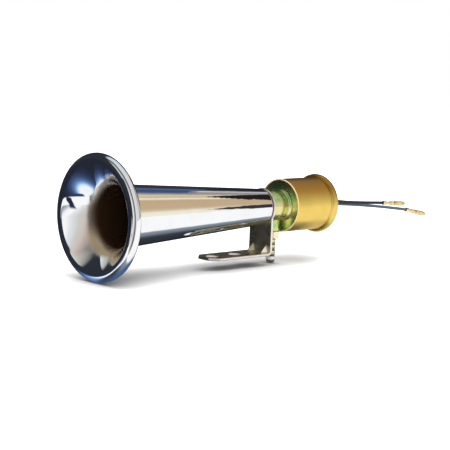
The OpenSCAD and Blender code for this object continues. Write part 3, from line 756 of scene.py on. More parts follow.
# Tones of the room, which only polished metal shows. Behind the bell, by degrees about the horn's axis, with
# 0 to its right and 90 overhead
ROOM_BEHIND = (
    (-180, (0.05, 0.045, 0.04)), (-60, (0.9, 0.9, 0.9)), (0, (0.92, 0.90, 0.78)), (14, (0.90, 0.82, 0.66)),
    (22, (0.66, 0.54, 0.38)), (30, (0.57, 0.43, 0.28)), (64, (0.56, 0.41, 0.25)), (72, (0.92, 0.85, 0.65)),
    (80, (0.58, 0.45, 0.27)), (88, (0.78, 0.60, 0.40)), (97, (0.25, 0.32, 0.36)), (106, (0.07, 0.10, 0.23)),
    (119, (0.04, 0.07, 0.15)), (126, (0.11, 0.15, 0.27)), (134, (0.04, 0.07, 0.14)), (142, (0.02, 0.03, 0.05)),
    (160, (0.05, 0.04, 0.035)), (180, (0.05, 0.045, 0.04)),
)
# Over the throat, by the same angle
ROOM_LEG = (
    (92, (0.42, 0.33, 0.23)), (104, (0.34, 0.28, 0.24)), (110, (0.36, 0.34, 0.34)), (117, (0.60, 0.66, 0.76)),
    (123, (0.10, 0.12, 0.18)), (132, (0.02, 0.02, 0.03)), (150, (0.02, 0.02, 0.02)),
)
# Ahead, by the share of a direction that lies along the horn
ROOM_AHEAD = (
    (-0.3, (0.66, 0.69, 0.72)), (0.1, (0.74, 0.78, 0.84)), (0.28, (0.55, 0.59, 0.65)),
    (0.37, (0.10, 0.10, 0.12)), (0.45, (0.045, 0.045, 0.05)), (0.52, (0.20, 0.18, 0.16)),
    (0.64, (0.50, 0.43, 0.39)), (0.70, (0.64, 0.56, 0.50)), (0.76, (0.64, 0.64, 0.63)),
    (0.83, (0.82, 0.84, 0.86)), (0.86, (1.0, 1.0, 1.0)), (0.90, (0.95, 0.97, 1.0)),
    (0.94, (0.40, 0.44, 0.50)), (0.98, (0.05, 0.06, 0.09)),
)
# Tones of the floor, which only polished metal shows. Under the cone, by millimetres across it: a painted
# shadow of the horn, dark under it and white beyond
FLOOR_UNDER = (
    (-32, (0.015, 0.02, 0.03)), (9, (0.035, 0.04, 0.05)), (15, (0.06, 0.07, 0.09)), (21, (0.15, 0.19, 0.24)),
    (33, (0.28, 0.32, 0.38)), (38, (1.0, 1.0, 1.0)),
)
# Before the mouth, by millimetres from the foot of its lip: a painted pool of blue-white light that fades to
# dark
FLOOR_GLOW = (
    (14, (0.95, 0.98, 1.0)), (18, (0.62, 0.82, 1.0)), (22, (0.25, 0.42, 0.74)), (27, (0.10, 0.18, 0.38)),
    (34, (0.045, 0.075, 0.17)), (44, (0.025, 0.035, 0.07)), (62, (0.018, 0.022, 0.035)),
)


def tones(value, stops):
    """Colour by value along a list of stops."""
    low, high = stops[0][0], stops[-1][0]
    places = [((at - low) / (high - low), *rgb) for at, rgb in stops]
    return ((value - low) / (high - low)).ramp(*places)


def studio(world, sizes):
    """White to the camera, plain soft light on dull surfaces, and a room of bands for polished metal."""
    f = Finish(world)
    way = f.node("ShaderNodeTexCoord", out="Generated")
    x = f.node("ShaderNodeSeparateXYZ", sockets={0: way})
    y, z = x.other("Y"), x.other("Z")
    turn = z.maths("ARCTAN2", y) * (180 / math.pi)
    behind = tones(turn, ROOM_BEHIND)
    throat = (x - (turn - 108) * 0.0006).between(-0.738, -0.748) * turn.between(93, 97)
    behind = f.mix(throat, behind, tones(turn, ROOM_LEG))
    # Two dark wedges that narrow towards the bell, overhead and at the side
    gap = (x * -450 - 344 - (turn - 82).maths("ABSOLUTE")).between(0, 4)
    behind = f.mix(gap, behind, (0.016, 0.014, 0.016))
    wedge = (x * -300 - 236 - (turn - 12).maths("ABSOLUTE")).between(0, 4) * turn.between(26, 20)
    behind = f.mix(wedge, behind, (0.04, 0.035, 0.045))
    ahead = tones(x + turn.between(92, 112, 0, 0.1), ROOM_AHEAD)
    ahead = f.mix(turn.between(88, 112, 0, 0.6), ahead, (0.80, 0.98, 1.0), "MULTIPLY")
    # The light part ahead ends at a slanting border
    side = y - x * 1.78 + 1.31 + turn.between(82, 108, 0, 0.3)
    lit = side.between(-0.03, 0.06) * turn.between(128, 119) * turn.between(-60, -40)
    ahead = f.mix(lit, (0.025, 0.03, 0.04), ahead)
    bands = f.mix(x.between(-0.68, -0.62), behind, ahead)
    far_behind = x.between(-0.88, -0.92) * turn.between(0, 10) * turn.between(95, 90)
    bands = f.mix(far_behind, bands, (0.62, 0.63, 0.66))
    path = f.node("ShaderNodeLightPath", out="Is Camera Ray")
    glossy, through = path.other("Is Glossy Ray"), path.other("Is Transmission Ray")
    plain = f.node("ShaderNodeBackground", sockets={0: (1, 1, 1), 1: sizes.fill})
    room = f.node("ShaderNodeBackground", sockets={0: bands, 1: 1.0})
    white = f.node("ShaderNodeBackground", sockets={0: (1, 1, 1), 1: 1.0})
    soft = f.node("ShaderNodeMixShader", sockets={0: glossy, 1: plain, 2: room})
    seen = path.maths("MAXIMUM", through)
    shown = f.node("ShaderNodeMixShader", sockets={0: seen, 1: soft, 2: white})
    f.node("ShaderNodeOutputWorld", sockets={0: shown})


def floor_finish(sizes, hole_x):
    """Pale floor: white to the camera with a soft shadow, plain to dull surfaces, and patches of painted shadow
    and light to polished metal.
    """
    f = new_finish("pale_floor")
    x = f.node("ShaderNodeSeparateXYZ", sockets={0: f.place()})
    x, y = x * (1 / MM), x.other("Y") * (1 / MM)
    # Places in millimetres from the middle of the foot's two holes
    mouth_x, glow_at, card_x, lip_at = 120, (150, -2), 190, (104, 24)
    # Painted shadow of the horn under the cone
    under = tones(y - x * 0.06, FLOOR_UNDER)
    glow = tones(distance(x, y, *glow_at), FLOOR_GLOW)
    far = tones((x - mouth_x) / distance(x, y, mouth_x), ROOM_AHEAD)
    ahead = f.mix(y.between(8, 13), glow, f.mix(y.between(40, 52), (1, 1, 1), far))
    # A painted dark line before the mouth
    line = x.between(158, 164) * x.between(200, 192) * y.between(1, 4) * y.between(11, 8)
    ahead = f.mix(line, ahead, (0.03, 0.045, 0.12))
    # A soft dark card painted on the floor before the bell, shown only in reflections
    angle = y.maths("ARCTAN2", x - card_x) * (180 / math.pi)
    reach = distance(x, y, card_x)
    middle = reach.between(20, 55, 38, 46) + reach.between(70, 260, 0, -6)
    half = reach.between(20, 64, 16, 7) + reach.between(64, 200, 0, -2.5)
    card = (half - (angle - middle).maths("ABSOLUTE")).between(-1.5, 2.5) * reach.between(14, 22)
    card = card * reach.between(150, 80)
    ahead = f.mix(card, ahead, (0.02, 0.025, 0.06))
    below = f.mix(y.between(12, 0), under, f.mix(1.0, under, glow, "LIGHTEN"))
    below = f.mix(x.between(-92, -112), below, (0.66, 0.63, 0.56), "LIGHTEN")
    # Painted light: blue under the lip and light under the foot's holes
    below = f.mix(distance(x, y, *lip_at).between(30, 12), below, (0.06, 0.12, 0.27))
    below = f.mix(distance(x.maths("ABSOLUTE"), y, hole_x).between(7, 5), below, (1.0, 0.96, 1.0))
    shown = f.mix(x.between(143, 152), below, ahead)
    path = f.node("ShaderNodeLightPath", out="Is Camera Ray")
    glossy = path.other("Is Glossy Ray")
    # Ambient occlusion darkens the floor's colour and its lift near the horn: a painted soft shadow
    hidden = f.node("ShaderNodeAmbientOcclusion", {"samples": 12}, {"Distance": 0.07}, out="AO")
    tone = f.mix(hidden.between(0.15, 0.9), (0.22, 0.22, 0.225), sizes.floor)
    away = distance(x, y).between(260, 700)
    near_lift = f.mix(hidden.between(0.15, 0.95), (0.02, 0.02, 0.02), (0.36, 0.36, 0.36))
    dull = f.node("ShaderNodeBsdfDiffuse", sockets={0: sizes.floor})
    kept = f.node("ShaderNodeBsdfDiffuse", sockets={0: tone})
    lift = f.node("ShaderNodeEmission", sockets={0: f.mix(away, near_lift, (1, 1, 1)), 1: 1.0})
    pale = f.node("ShaderNodeAddShader", sockets={0: kept, 1: lift})
    mirror = f.node("ShaderNodeEmission", sockets={0: shown, 1: 1.0})
    first = f.node("ShaderNodeMixShader", sockets={0: path, 1: dull, 2: pale})
    both = f.node("ShaderNodeMixShader", sockets={0: glossy, 1: first, 2: mirror})
    f.node("ShaderNodeOutputMaterial", sockets={0: both})
    return f.owner


class AIRHORN_OT_stage(bpy.types.Operator):
    """Puts up the camera, the pale floor, the room and the soft lamps"""

    bl_idname = "airhorn.stage"
    bl_label = "Stage"

    def execute(self, context):
        scene = context.scene
        sizes = scene.horn_stage
        data = bpy.data.cameras.new("camera")
        data.lens, data.sensor_width, data.sensor_fit = sizes.focal, 36, "HORIZONTAL"
        data.clip_start, data.clip_end = 0.01, 20
        camera = bpy.data.objects.new("camera", data)
        camera.matrix_world = camera_matrix()
        scene.collection.objects.link(camera)
        scene.camera = camera
        scene.view_settings.view_transform = "Standard"
        reach = 4.0
        low = FLOOR_H * MM
        corners = [(-reach, -reach, low), (reach, -reach, low), (reach, reach, low), (-reach, reach, low)]
        floor = holder("floor", corners, faces=[(0, 1, 2, 3)])
        floor.data.materials.append(floor_finish(sizes, scene.horn_bracket.pitch / MM / 2))
        world = bpy.data.worlds.new("room")
        scene.world = world
        studio(world, sizes)
        lamps = (
            ("overhead", (0.05, 0.15, 0.75), 0.6, 5.0, (1.0, 0.99, 0.97)),
            ("front", (0.55, 0.70, 0.45), 0.4, 2.2, (1.0, 0.98, 0.95)),
            ("rear", (-0.55, -0.45, 0.50), 0.4, 1.6, (0.96, 0.98, 1.0)),
        )
        middle = Vector((0, 0, 0.03))
        for name, place, width, power, colour in lamps:
            light = bpy.data.lights.new(name, "AREA")
            light.shape, light.size, light.energy, light.color = "DISK", width, power, colour
            lamp = bpy.data.objects.new(name, light)
            lamp.location = place
            lamp.rotation_euler = (middle - Vector(place)).to_track_quat("-Z", "Y").to_euler()
            lamp.visible_glossy = False
            lamp.visible_camera = False
            scene.collection.objects.link(lamp)
        return {"FINISHED"}


# Leads and terminals

BLACK_ROUTE = (
    (0, 0, 0), (5, 0.3, -0.2), (10, 1, -0.7), (16, 2.2, -1.3), (22, 3.6, -1.9), (28, 5, -2.3),
    (34, 6.5, -2.6), (40, 8.2, -2.8), (46, 9.9, -3), (52, 12, -3.1), (58, 14.3, -3.2),
)
BLUE_ROUTE = (
    (0, 0, 0), (6, 0.1, -0.1), (12, 0.5, -0.3), (18, 1.2, -0.6), (25, 2.2, -1), (32, 3.3, -1.5), (39, 4.5, -2),
    (46, 5.8, -2.6), (53, 7.1, -3.2), (60, 8.5, -3.9), (67, 10, -4.6), (74, 11.6, -5.4), (81, 13.3, -6.2),
    (88, 15.2, -7.1),
)
LEADS = (
    ("black", BLACK_ROUTE, 1, (-23, -2), "black_sheath"),
    ("blue", BLUE_ROUTE, -1, (-17, -12), "slate_sheath"),
)


def lead_points(route, side):
    """Points of a lead in metres, from its hole in the grommet."""
    return [spot(-GROMMET_END - p[0], p[1], side * LEAD_PITCH / 2 + p[2]) for p in route]


def terminal(name, end, yaw, pitch, sizes):
    """Bullet terminal rolled from strip: open seam, crimp over the sheath, waist, barrel and nose."""
    lead, barrel = sizes.lead / MM / 2, sizes.bullet / MM / 2
    sleeve, grip, waist = lead + 0.55, lead + 0.2, lead - 0.2
    # Millimetres along the terminal and its radius there
    line = [
        (0, sleeve + 0.1), (0.4, sleeve), (2.5, sleeve), (2.9, sleeve - 0.06), (3.4, grip), (4.4, grip - 0.05),
        (5.7, grip), (6.3, sleeve - 0.06), (6.7, sleeve), (8.9, sleeve), (9.3, sleeve - 0.12),
        (9.6, waist + 0.1), (9.9, waist), (10.2, waist + 0.08), (10.5, barrel - 0.2), (10.75, barrel - 0.03),
        (11.1, barrel), (14, barrel), (17.4, barrel), (18.2, barrel - 0.07), (19.1, barrel * 0.84),
        (19.9, barrel * 0.7), (20.5, barrel * 0.52), (20.85, barrel * 0.36), (21, barrel * 0.28),
    ]
    around = 64
    verts, faces = [], []
    for s, radius in line:
        half = sizes.seam / MM / 2 / max(radius, 0.8)
        crimp = math.exp(-(((s - 4.6) / 1.3) ** 2))
        for k in range(around + 1):
            a = half + (2 * math.pi - 2 * half) * k / around
            near = min(a, 2 * math.pi - a)
            pressed = 0.42 * math.exp(-((near / 0.32) ** 2)) - 0.10 * math.exp(-(((near - 0.8) / 0.4) ** 2))
            r = radius - crimp * pressed
            verts.append((-s, r * math.sin(a), r * math.cos(a)))
    for i in range(len(line) - 1):
        for k in range(around):
            a = i * (around + 1) + k
            faces.append((a, a + 1, a + around + 2, a + around + 1))
    piece = holder(name, verts, faces=faces)
    shape = bmesh.new()
    shape.from_mesh(piece.data)
    shape.faces.ensure_lookup_table()
    side = shape.faces[around // 4]
    if side.calc_center_median().yz.dot(side.normal.yz) < 0:
        bmesh.ops.reverse_faces(shape, faces=shape.faces)
    shape.to_mesh(piece.data)
    shape.free()
    wall = piece.modifiers.new("strip", "SOLIDIFY")
    wall.thickness, wall.offset, wall.use_even_offset = sizes.strip / MM, -1, True
    baked(piece)
    turn = Matrix.Rotation(math.radians(yaw), 4, "Z") @ Matrix.Rotation(math.radians(pitch), 4, "Y")
    place = Matrix.Translation(end) @ turn @ Matrix.Diagonal((MM, MM, MM, 1))
    return settle(piece, place, "terminal_brass", sharp=40, weld=False)


class AIRHORN_OT_leads(bpy.types.Operator):
    """Lays the two leads behind the can and puts a bullet terminal on each"""

    bl_idname = "airhorn.leads"
    bl_label = "Leads"

    def execute(self, context):
        sizes = context.scene.horn_leads
        for colour, route, side, (yaw, pitch), slot in LEADS:
            points = lead_points(route, side)
            data = bpy.data.curves.new("lead_" + colour, "CURVE")
            data.dimensions, data.resolution_u = "3D", 6
            data.bevel_depth, data.bevel_resolution, data.use_fill_caps = sizes.lead / 2, 6, True
            spline = data.splines.new("BEZIER")
            spline.bezier_points.add(len(points) - 1)
            for knot, point in zip(spline.bezier_points, points):
                knot.co = point
                knot.handle_left_type = knot.handle_right_type = "AUTO"
            lead = bpy.data.objects.new("dressed_lead_" + colour, data)
            context.scene.collection.objects.link(lead)
            data.materials.append(FINISHES[slot])
            stands_for(lead, "horn", "lead_" + colour)
            end = terminal("dressed_terminal_" + colour, points[-1], yaw, pitch, sizes)
            stands_for(end, "horn", "terminal_" + colour)
            real = sum((b - a).length for a, b in zip(points, points[1:]))
            tuple(points[0])
        return {"FINISHED"}


# Trumpet


def trumpet_outline(sizes):
    """Section of the spun trumpet: cone, bend, flare and lip rolled outwards."""
    wall, slope, throat = sizes.wall / MM, sizes.slope, sizes.throat / MM
    heel, lip_r, flare_r, bend_r = sizes.heel / MM, sizes.lip / MM / 2, sizes.flare / MM, sizes.bend / MM
    k, tilt, wall_r = math.tan(slope), math.degrees(slope), wall / math.cos(slope)
    bend_at = sizes.bend_at / MM
    bend_h = throat / 2 - wall_r + k * bend_at + bend_r * math.cos(slope)
    bend = Vector((bend_at - bend_r * math.sin(slope), bend_h))
    lip = Vector((TRUMPET_L - sizes.recess / MM - lip_r, BELL_D / 2 - lip_r))
    # The flare touches the bend's arc and the lip's, so its centre is as far from both as their radii ask
    span = lip - bend
    along = ((flare_r - bend_r) ** 2 - (flare_r - lip_r) ** 2 + span.length_squared) / (2 * span.length)
    aside = math.sqrt((flare_r - bend_r) ** 2 - along**2)
    across = Vector((-span.y, span.x)).normalized()
    flare = bend + span.normalized() * along + across * aside
    turn = math.degrees(math.atan2(bend.y - flare.y, bend.x - flare.x))
    start = math.degrees(math.atan2(lip.y - flare.y, lip.x - flare.x))
    rear, end = TURN_GAP, 215
    heel_h = throat / 2 + (rear + heel) * k - heel / math.cos(slope)
    outside = [(rear, BOLT_HOLE_R)] + arc(rear + heel, heel_h, heel, 180, 90 + tilt, 8)
    outside += arc(*bend, bend_r - wall, tilt - 90, turn, 16) + arc(*flare, flare_r - wall, turn, start, 14)[1:]
    curl = arc(*lip, lip_r - wall, start, end, 32)[1:]
    rolled = arc(*lip, lip_r, end, start, 44)
    shown = arc(*flare, flare_r, start, turn, 18)[1:] + arc(*bend, bend_r, turn, tilt - 90, 24)[1:]
    inner = rear + wall
    return outside + curl + rolled + shown + [(inner, throat / 2 - wall_r + inner * k), (inner, BOLT_HOLE_R)]


class AIRHORN_OT_trumpet(bpy.types.Operator):
    """Turns the spun trumpet with its rolled lip"""

    bl_idname = "airhorn.trumpet"
    bl_label = "Trumpet"

    def execute(self, context):
        sizes = context.scene.horn_trumpet
        outline = eased(trumpet_outline(sizes), 0.3, sharp=40)
        piece = turned("dressed_trumpet", outline, "bright_chrome", sizes.sides, sharp=50)
        stands_for(piece, "horn", "trumpet")
        return {"FINISHED"}


# Bracket


def offset(points, distance):
    """Closed outline moved to its left by a distance."""
    out = []
    for i, point in enumerate(points):
        back = (point - points[i - 1]).normalized()
        on = (points[(i + 1) % len(points)] - point).normalized()
        left = Vector((-back.y, back.x))
        mean = (left + Vector((-on.y, on.x))).normalized()
        out.append(point + mean * (distance / max(0.35, mean.dot(left))))
    return out


def plate(loops, thick, ease, steps=3):
    """Flat blank with rounded sheared edges: loops run so that metal is on their left."""
    shape = bmesh.new()
    quarter = [math.pi / 2 * k / steps for k in range(steps + 1)]
    levels = [(ease * (1 - math.sin(a)), ease * (1 - math.cos(a))) for a in quarter]
    levels += [(inset, thick - w) for inset, w in reversed(levels)]
    caps = ([], [])
    for loop in loops:
        rings = []
        for inset, w in levels:
            rings.append([shape.verts.new((p.x, p.y, w)) for p in offset(loop, inset)])
        for near, far in zip(rings, rings[1:]):
            for i in range(len(near)):
                j = (i + 1) % len(near)
                shape.faces.new((near[i], near[j], far[j], far[i]))
        for cap, ring in zip(caps, (rings[0], rings[-1])):
            cap += [shape.edges.get((ring[i], ring[(i + 1) % len(ring)])) for i in range(len(ring))]
    for cap in caps:
        bmesh.ops.triangle_fill(shape, use_beauty=True, use_dissolve=False, edges=cap)
    bmesh.ops.recalc_face_normals(shape, faces=shape.faces)
    return shape


def cut_across(shape, axis, places, keep=lambda centre: True):
    """Adds rows of edges across the part of a blank that is to be shaped."""
    normal = Vector((1, 0, 0)) if axis == 0 else Vector((0, 1, 0))
    for place in places:
        faces = [face for face in shape.faces if keep(face.calc_center_median())]
        edges = {edge for face in faces for edge in face.edges}
        verts = {vert for face in faces for vert in face.verts}
        parts = [*verts, *edges, *faces]
        bmesh.ops.bisect_plane(shape, geom=parts, dist=1e-5, plane_co=normal * place, plane_no=normal)


class AIRHORN_OT_bracket(bpy.types.Operator):
    """Blanks, bends and darts the plated bracket"""

    bl_idname = "airhorn.bracket"
    bl_label = "Bracket"

    def execute(self, context):
        sizes = context.scene.horn_bracket
        half, eye, bend = sizes.width / MM / 2, sizes.eye / MM / 2, sizes.bend / MM
        top = SHEET - AXIS_H
        leg = -(top + bend)
        turn_l = (bend + SHEET / 2) * math.pi / 2
        foot = leg + turn_l - bend
        corner, hole = sizes.corner / MM, sizes.hole / MM / 2
        side = math.asin(half / eye)
        tip = foot + FOOT_L
        outline = [(tip, corner - half), (tip, half - corner), (tip - corner, half)]
        rounds = 72
        sweep = [side + (2 * math.pi - 2 * side) * i / rounds for i in range(rounds + 1)]
        outline += [(eye * math.cos(a), eye * math.sin(a)) for a in sweep]
        outline += [(tip - corner, -half)]
        outer = [Vector(p) for p in eased(outline, 1.2, sharp=30)]
        loops = [outer]
        first, pitch = sizes.first_hole / MM, sizes.pitch / MM
        rings = ((0, sizes.eye_hole / MM / 2, 96), (foot + first, hole, 64), (foot + first + pitch, hole, 64))
        for centre, radius, count in rings:
            turns = [-2 * math.pi * i / count for i in range(count)]
            loops.append([Vector((centre + radius * math.cos(a), radius * math.sin(a))) for a in turns])
        shape = plate(loops, SHEET, sizes.ease / MM)
        dart, wide, gap = sizes.dart / MM, sizes.dart_width / MM, sizes.dart_pitch / MM
        margin = dart + 0.6
        low, high = leg - margin, leg + turn_l + margin
        rows = [low + (high - low) * i / 40 for i in range(41)]
        cut_across(shape, 0, rows)
        columns = [s * gap / 2 + wide * 0.62 * k / 10 for s in (-1, 1) for k in range(-10, 11)]
        cut_across(shape, 1, columns, lambda c: low - 1e-3 < c.x < high + 1e-3)
        shape.faces.index_update()
        heights = [[vert.co.z for vert in face.verts] for face in shape.faces]
        flat = [max(face) < 1e-4 or min(face) > SHEET - 1e-4 for face in heights]
        for edge in shape.edges:
            kinds = {flat[face.index] for face in edge.link_faces}
            edge.smooth = len(kinds) == 1
        for vert in shape.verts:
            vert.co = self.folded(vert.co, leg, turn_l, bend, top, dart, wide, gap)
        bmesh.ops.recalc_face_normals(shape, faces=shape.faces)
        piece = holder("dressed_bracket", [])
        shape.to_mesh(piece.data)
        shape.free()
        for polygon in piece.data.polygons:
            polygon.use_smooth = True
        piece.data.transform(TO_MODEL)
        finish(piece, "zinc_sheet")
        stands_for(piece, "bracket", "bracket")
        return {"FINISHED"}

    @staticmethod
    def folded(flat, leg, turn_l, bend, top, dart, wide, gap):
        """Place on the bent sheet of a point of the blank, sunk where a dart is pressed."""
        u, v, w = flat

        def bent(depth):
            if u <= leg:
                return Vector((-depth, v, -u))
            if u >= leg + turn_l:
                return Vector((bend + u - leg - turn_l, v, top - depth))
            a = (u - leg) / turn_l * math.pi / 2
            reach = bend + depth
            return Vector((bend - reach * math.cos(a), v, top + bend - reach * math.sin(a)))

        place, inner = bent(w), bent(0)
        reach = (inner.x + inner.z - top) / math.sqrt(2)
        aside = min(abs(v - gap / 2), abs(v + gap / 2))
        want = dart / math.sqrt(2) * (1 - 2 * aside / wide)
        if inner.x < dart + 0.8 and inner.z - top < dart + 0.8 and want > -1.2:
            rise = want - reach
            rise = 0.5 * (rise + math.sqrt(rise * rise + 0.12)) - 0.02
            fade = min(1, max(0, (want + 1.2) / 0.8))
            if inner.x > dart - 0.6 or inner.z - top > dart - 0.6:
                fade *= max(0, 1 - (max(inner.x, inner.z - top) - dart + 0.6) / 1.4)
            place += Vector((1, 0, 1)) / math.sqrt(2) * max(0, rise) * fade
        return place


# Valve body, boss and barb


def neck_radius(x, sizes):
    """Radius of the neck and its fillet, x millimetres behind the leg."""
    neck, fillet, flange = sizes.neck / MM / 2, sizes.fillet / MM, sizes.flange_at / MM
    if x <= flange - fillet:
        return neck
    return neck + fillet - math.sqrt(max(0, fillet**2 - (x - flange + fillet) ** 2))


class AIRHORN_OT_valve(bpy.types.Operator):
    """Turns the valve body and fits the boss under its neck"""

    bl_idname = "airhorn.valve"
    bl_label = "Valve body"

    def execute(self, context):
        sizes = context.scene.horn_valve
        neck, fillet, flange = sizes.neck / MM / 2, sizes.fillet / MM, sizes.flange_at / MM
        rear, rim, front = flange + sizes.flange_width / MM, sizes.flange_d / MM / 2, SHEET + TURN_GAP
        chamber, passage, seat, cavity = 6.2, 1.9, 3.2, 9
        cavity_end, seat_end, bolt_end, chamber_end = 6 - rear, 11 - rear, -7.8, -9.8
        outline = [(-front, BOLT_HOLE_R), (-front, neck)]
        outline += arc(fillet - flange, neck + fillet, fillet, -90, -180, 14)
        outline += [(-flange, rim), (-rear, rim), (-rear, cavity), (cavity_end, cavity), (cavity_end, seat)]
        outline += [(seat_end, seat), (seat_end, passage), (chamber_end, passage), (chamber_end, chamber)]
        outline += [(bolt_end, chamber), (bolt_end, BOLT_HOLE_R)]
        body = turned("dressed_valve_body", eased(outline, 0.3, sharp=40), "passivated_zinc", 176)
        stands_for(body, "horn", "valve_body")
        stands_for(self.boss(sizes), "horn", "inlet_bung")
        return {"FINISHED"}

    @staticmethod
    def boss(sizes):
        """Boss brazed under the neck: an eased foot, a straight wall and a small fillet along the saddle."""
        radius, foot, bore = sizes.boss / MM / 2, -sizes.drop / MM, 3.55
        around, ease = 96, 0.5
        # Rings below the neck have their own height, and those on it a distance from its surface
        level = [(bore, foot + 3), (bore, foot + 0.2), (bore + 0.2, foot), (radius - ease, foot)]
        for a in (0.5, 1.0, 1.57):
            level.append((radius - ease * (1 - math.sin(a)), foot + ease * (1 - math.cos(a))))
        saddle = [(radius, 0.9), (radius + 0.05, 0.6), (radius + 0.2, 0.32), (radius + 0.5, 0.1)]
        saddle += [(radius + 0.8, -0.12), (radius + 0.2, -0.9), (bore, -1.2)]
        verts = []
        for i, (r, height) in enumerate(level + saddle):
            for k in range(around):
                a = 2 * math.pi * k / around
                x, y, z = r * math.cos(a), r * math.sin(a), height
                if i >= len(level):
                    z = -math.sqrt(neck_radius(BARB_X - x, sizes) ** 2 - y * y) - height
                verts.append((x, y, z))
        faces = wrapped(len(level + saddle), around)
        piece = holder("dressed_inlet_bung", verts, faces=faces)
        return settle(piece, BARB_UPRIGHT, "passivated_zinc", sharp=40)


def hexagon(across, height, around=144):
    """Rings of a hexagonal collar whose corners are turned off at 30 degrees."""
    flat = across / 2
    face = 0.49 * across
    levels = [0.06 * i for i in range(11)]
    levels = levels + [height - z for z in reversed(levels)]
    rings = []
    for z in levels:
        cone = face + min(z, height - z) * math.sqrt(3)
        ring = []
        for k in range(around):
            a = 2 * math.pi * k / around
            within = (a + math.pi / 6) % (math.pi / 3) - math.pi / 6
            aside = math.pi / 6 - abs(within)
            r = min(flat / math.cos(aside), cone)
            ring.append((r * math.cos(a), r * math.sin(a), z))
        rings.append(ring)
    return rings


class AIRHORN_OT_barb(bpy.types.Operator):
    """Makes the hose barb: collar, repeated barbs and bore"""

    bl_idname = "airhorn.barb"
    bl_label = "Hose barb"

    def execute(self, context):
        sizes = context.scene.horn_valve
        ring_top, ring_t, ring_r = -sizes.drop / MM, 0.6, 3.5
        across, high = sizes.collar / MM, sizes.collar_h / MM
        crest, root, tooth = sizes.crest / MM / 2, sizes.root / MM / 2, sizes.tooth / MM
        bore, thread = 1.9, 3.4
        gasket = [(ring_top - ring_t, ring_r), (ring_top, ring_r), (ring_top, across / 2)]
        gasket += [(ring_top - ring_t, across / 2)]
        piece = turned("dressed_barb_gasket", eased(gasket, 0.15), "fibre", 72, BARB_UPRIGHT)
        stands_for(piece, "horn", "barb_gasket")

        collar_end = ring_top - ring_t - high
        start = collar_end - 1
        around = 144
        rings = hexagon(across, high, around)
        for z in (high, 0):
            turns = [2 * math.pi * k / around for k in range(around)]
            rings.append([(bore * math.cos(a), bore * math.sin(a), z) for a in turns])
        verts = [(x, y, z + collar_end) for ring in rings for x, y, z in ring]
        collar = holder("collar", verts, faces=wrapped(len(rings), around))
        settle(collar, sharp=None)

        upper, lower, thread_end = collar_end + 0.1, start - 0.1, collar_end + high - 0.1
        line = eased([(upper, bore), (upper, root), (lower, root), (lower, bore)], 0.1)
        neck = turned("neck", line, "pale_zinc", 96, Matrix.Identity(4))
        line = [(ring_top + 3.1, bore), (ring_top + 3.2, thread - 0.2), (ring_top + 3, thread)]
        line += [(thread_end, thread), (thread_end, bore)]
        shank = turned("shank", line, "pale_zinc", 96, Matrix.Identity(4))
        flank = [(start, bore), (start, root - 0.05), (start - 0.02, crest - 0.12), (start - 0.14, crest)]
        flank += [(start - 0.9, crest), (start - 1.15, crest - 0.05), (start - tooth + 0.5, root + 0.1)]
        flank += [(start - tooth + 0.12, root), (start - tooth, root - 0.05), (start - tooth, bore)]
        barbs = turned("dressed_hose_barb", flank, "pale_zinc", 96, Matrix.Identity(4), sharp=None)
        grown(barbs, row_tree(), Count=sizes.teeth, Pitch=(0, 0, -tooth), Finish=FINISHES["pale_zinc"])
        shape = bmesh.new()
        for part in (barbs, collar, neck, shank):
            shape.from_mesh(part.data)
        shape.to_mesh(barbs.data)
        shape.free()
        for part in (collar, neck, shank):
            bpy.data.objects.remove(part)
        settle(barbs, BARB_UPRIGHT, "pale_zinc", sharp=34)
        stands_for(barbs, "horn", "hose_barb")
        return {"FINISHED"}


# Can, cover and grommet


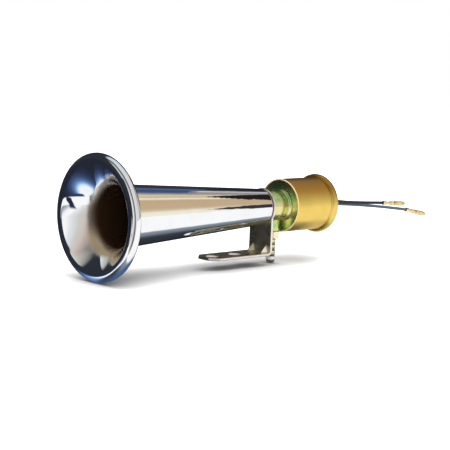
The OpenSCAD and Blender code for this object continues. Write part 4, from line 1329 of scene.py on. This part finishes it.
class AIRHORN_OT_can(bpy.types.Operator):
    """Draws the gold can with its rolled bead, the rear cover and the grommet"""

    bl_idname = "airhorn.can"
    bl_label = "Can"

    def execute(self, context):
        sizes = context.scene.horn_can
        outer, wall, front = sizes.can / MM / 2, sizes.wall / MM, sizes.front / MM
        bead_r = sizes.bead_r / MM
        bead_h, bead_x = sizes.bead / MM / 2 - bead_r, CAN_END - bead_r
        sunk, sheet, overlap, step = 2.1, 1, 2.2, 0.35
        cover_rear = CAN_END - sunk
        cover_front, cover_r = cover_rear - sheet, outer - wall + 0.6
        start = math.degrees(math.asin((outer - bead_h) / bead_r))
        fold = cover_r - overlap
        end = 180 + math.degrees(math.asin((bead_h - fold) / bead_r))
        outline = [(-front, outer - wall), (-front, outer)] + arc(-bead_x, bead_h, bead_r, start, end, 40)
        outline += [(-cover_rear, fold), (-cover_rear, cover_r + 0.05), (-cover_front, cover_r + 0.05)]
        outline += [(-cover_front, outer - wall)]
        can = turned("dressed_can", eased(outline, 0.3, sharp=40), "gold_finish", sizes.sides, sharp=50)
        stands_for(can, "horn", "cover_can")

        neck, far = 4.2, GROMMET_END
        cover = [(-cover_front, neck), (-cover_front, cover_r), (-cover_rear, cover_r), (-cover_rear, 14.6)]
        cover += [(step - cover_rear, 14.0), (step - cover_rear, 9.2), (-cover_rear, 8.6), (-cover_rear, neck)]
        disc = turned("dressed_rear_cover", eased(cover, 0.25, sharp=20), "gold_finish", 160)
        stands_for(disc, "horn", "rear_cover")

        inner = 1.2 - cover_front
        rubber = [(inner, 0), (inner, 4.6), (0.5 - cover_front, 5.8), (-cover_front, 6.2)]
        rubber += [(-cover_front, neck), (-cover_rear, neck), (-cover_rear, 6.6), (-cover_rear - 1.4, 6.55)]
        rubber += [(-cover_rear - 2.8, 4.8), (-far, 3.6), (-far, 0)]
        nose = turned("dressed_grommet", eased(rubber, 0.5, sharp=20), "black_rubber", 96, closed=False)
        stands_for(nose, "horn", "grommet")
        return {"FINISHED"}


class AIRHORN_OT_works(bpy.types.Operator):
    """Gives the parts inside the horn and the can their finishes"""

    bl_idname = "airhorn.works"
    bl_label = "Works"

    def execute(self, context):
        # A hidden node already has a finished piece in its place
        for part in frame["record"]["subparts"]:
            node = frame["nodes"][part["node"]]
            if node.hide_render:
                continue
            node.data.materials.clear()
            node.data.materials.append(FINISHES[part["material_slot"]])
        return {"FINISHED"}


class AIRHORN_PT_panel(bpy.types.Panel):
    """Lists the pieces of the air horn"""

    bl_idname = "AIRHORN_PT_panel"
    bl_label = "Air Horn"
    bl_space_type = "VIEW_3D"
    bl_region_type = "UI"
    bl_category = "Air Horn"

    def draw(self, context):
        for step in STEPS:
            self.layout.operator(step.bl_idname)


SIZES = {
    "horn_stage": StageSizes,
    "horn_leads": LeadSizes,
    "horn_trumpet": TrumpetSizes,
    "horn_bracket": BracketSizes,
    "horn_valve": ValveSizes,
    "horn_can": CanSizes,
}
STEPS = (
    AIRHORN_OT_stage,
    AIRHORN_OT_leads,
    AIRHORN_OT_trumpet,
    AIRHORN_OT_bracket,
    AIRHORN_OT_valve,
    AIRHORN_OT_barb,
    AIRHORN_OT_can,
    AIRHORN_OT_works,
)


def register():
    for group in (*SIZES.values(), *STEPS, AIRHORN_PT_panel):
        bpy.utils.register_class(group)
    for name, group in SIZES.items():
        setattr(bpy.types.Scene, name, PointerProperty(type=group))


def unregister():
    for name in SIZES:
        delattr(bpy.types.Scene, name)
    for group in (AIRHORN_PT_panel, *reversed(STEPS), *SIZES.values()):
        bpy.utils.unregister_class(group)


def main():
    register()
    make_finishes(bpy.context.scene)
    for step in STEPS:
        family, name = step.bl_idname.split(".")
        getattr(getattr(bpy.ops, family), name)()


if __name__ == "__main__":
    main()
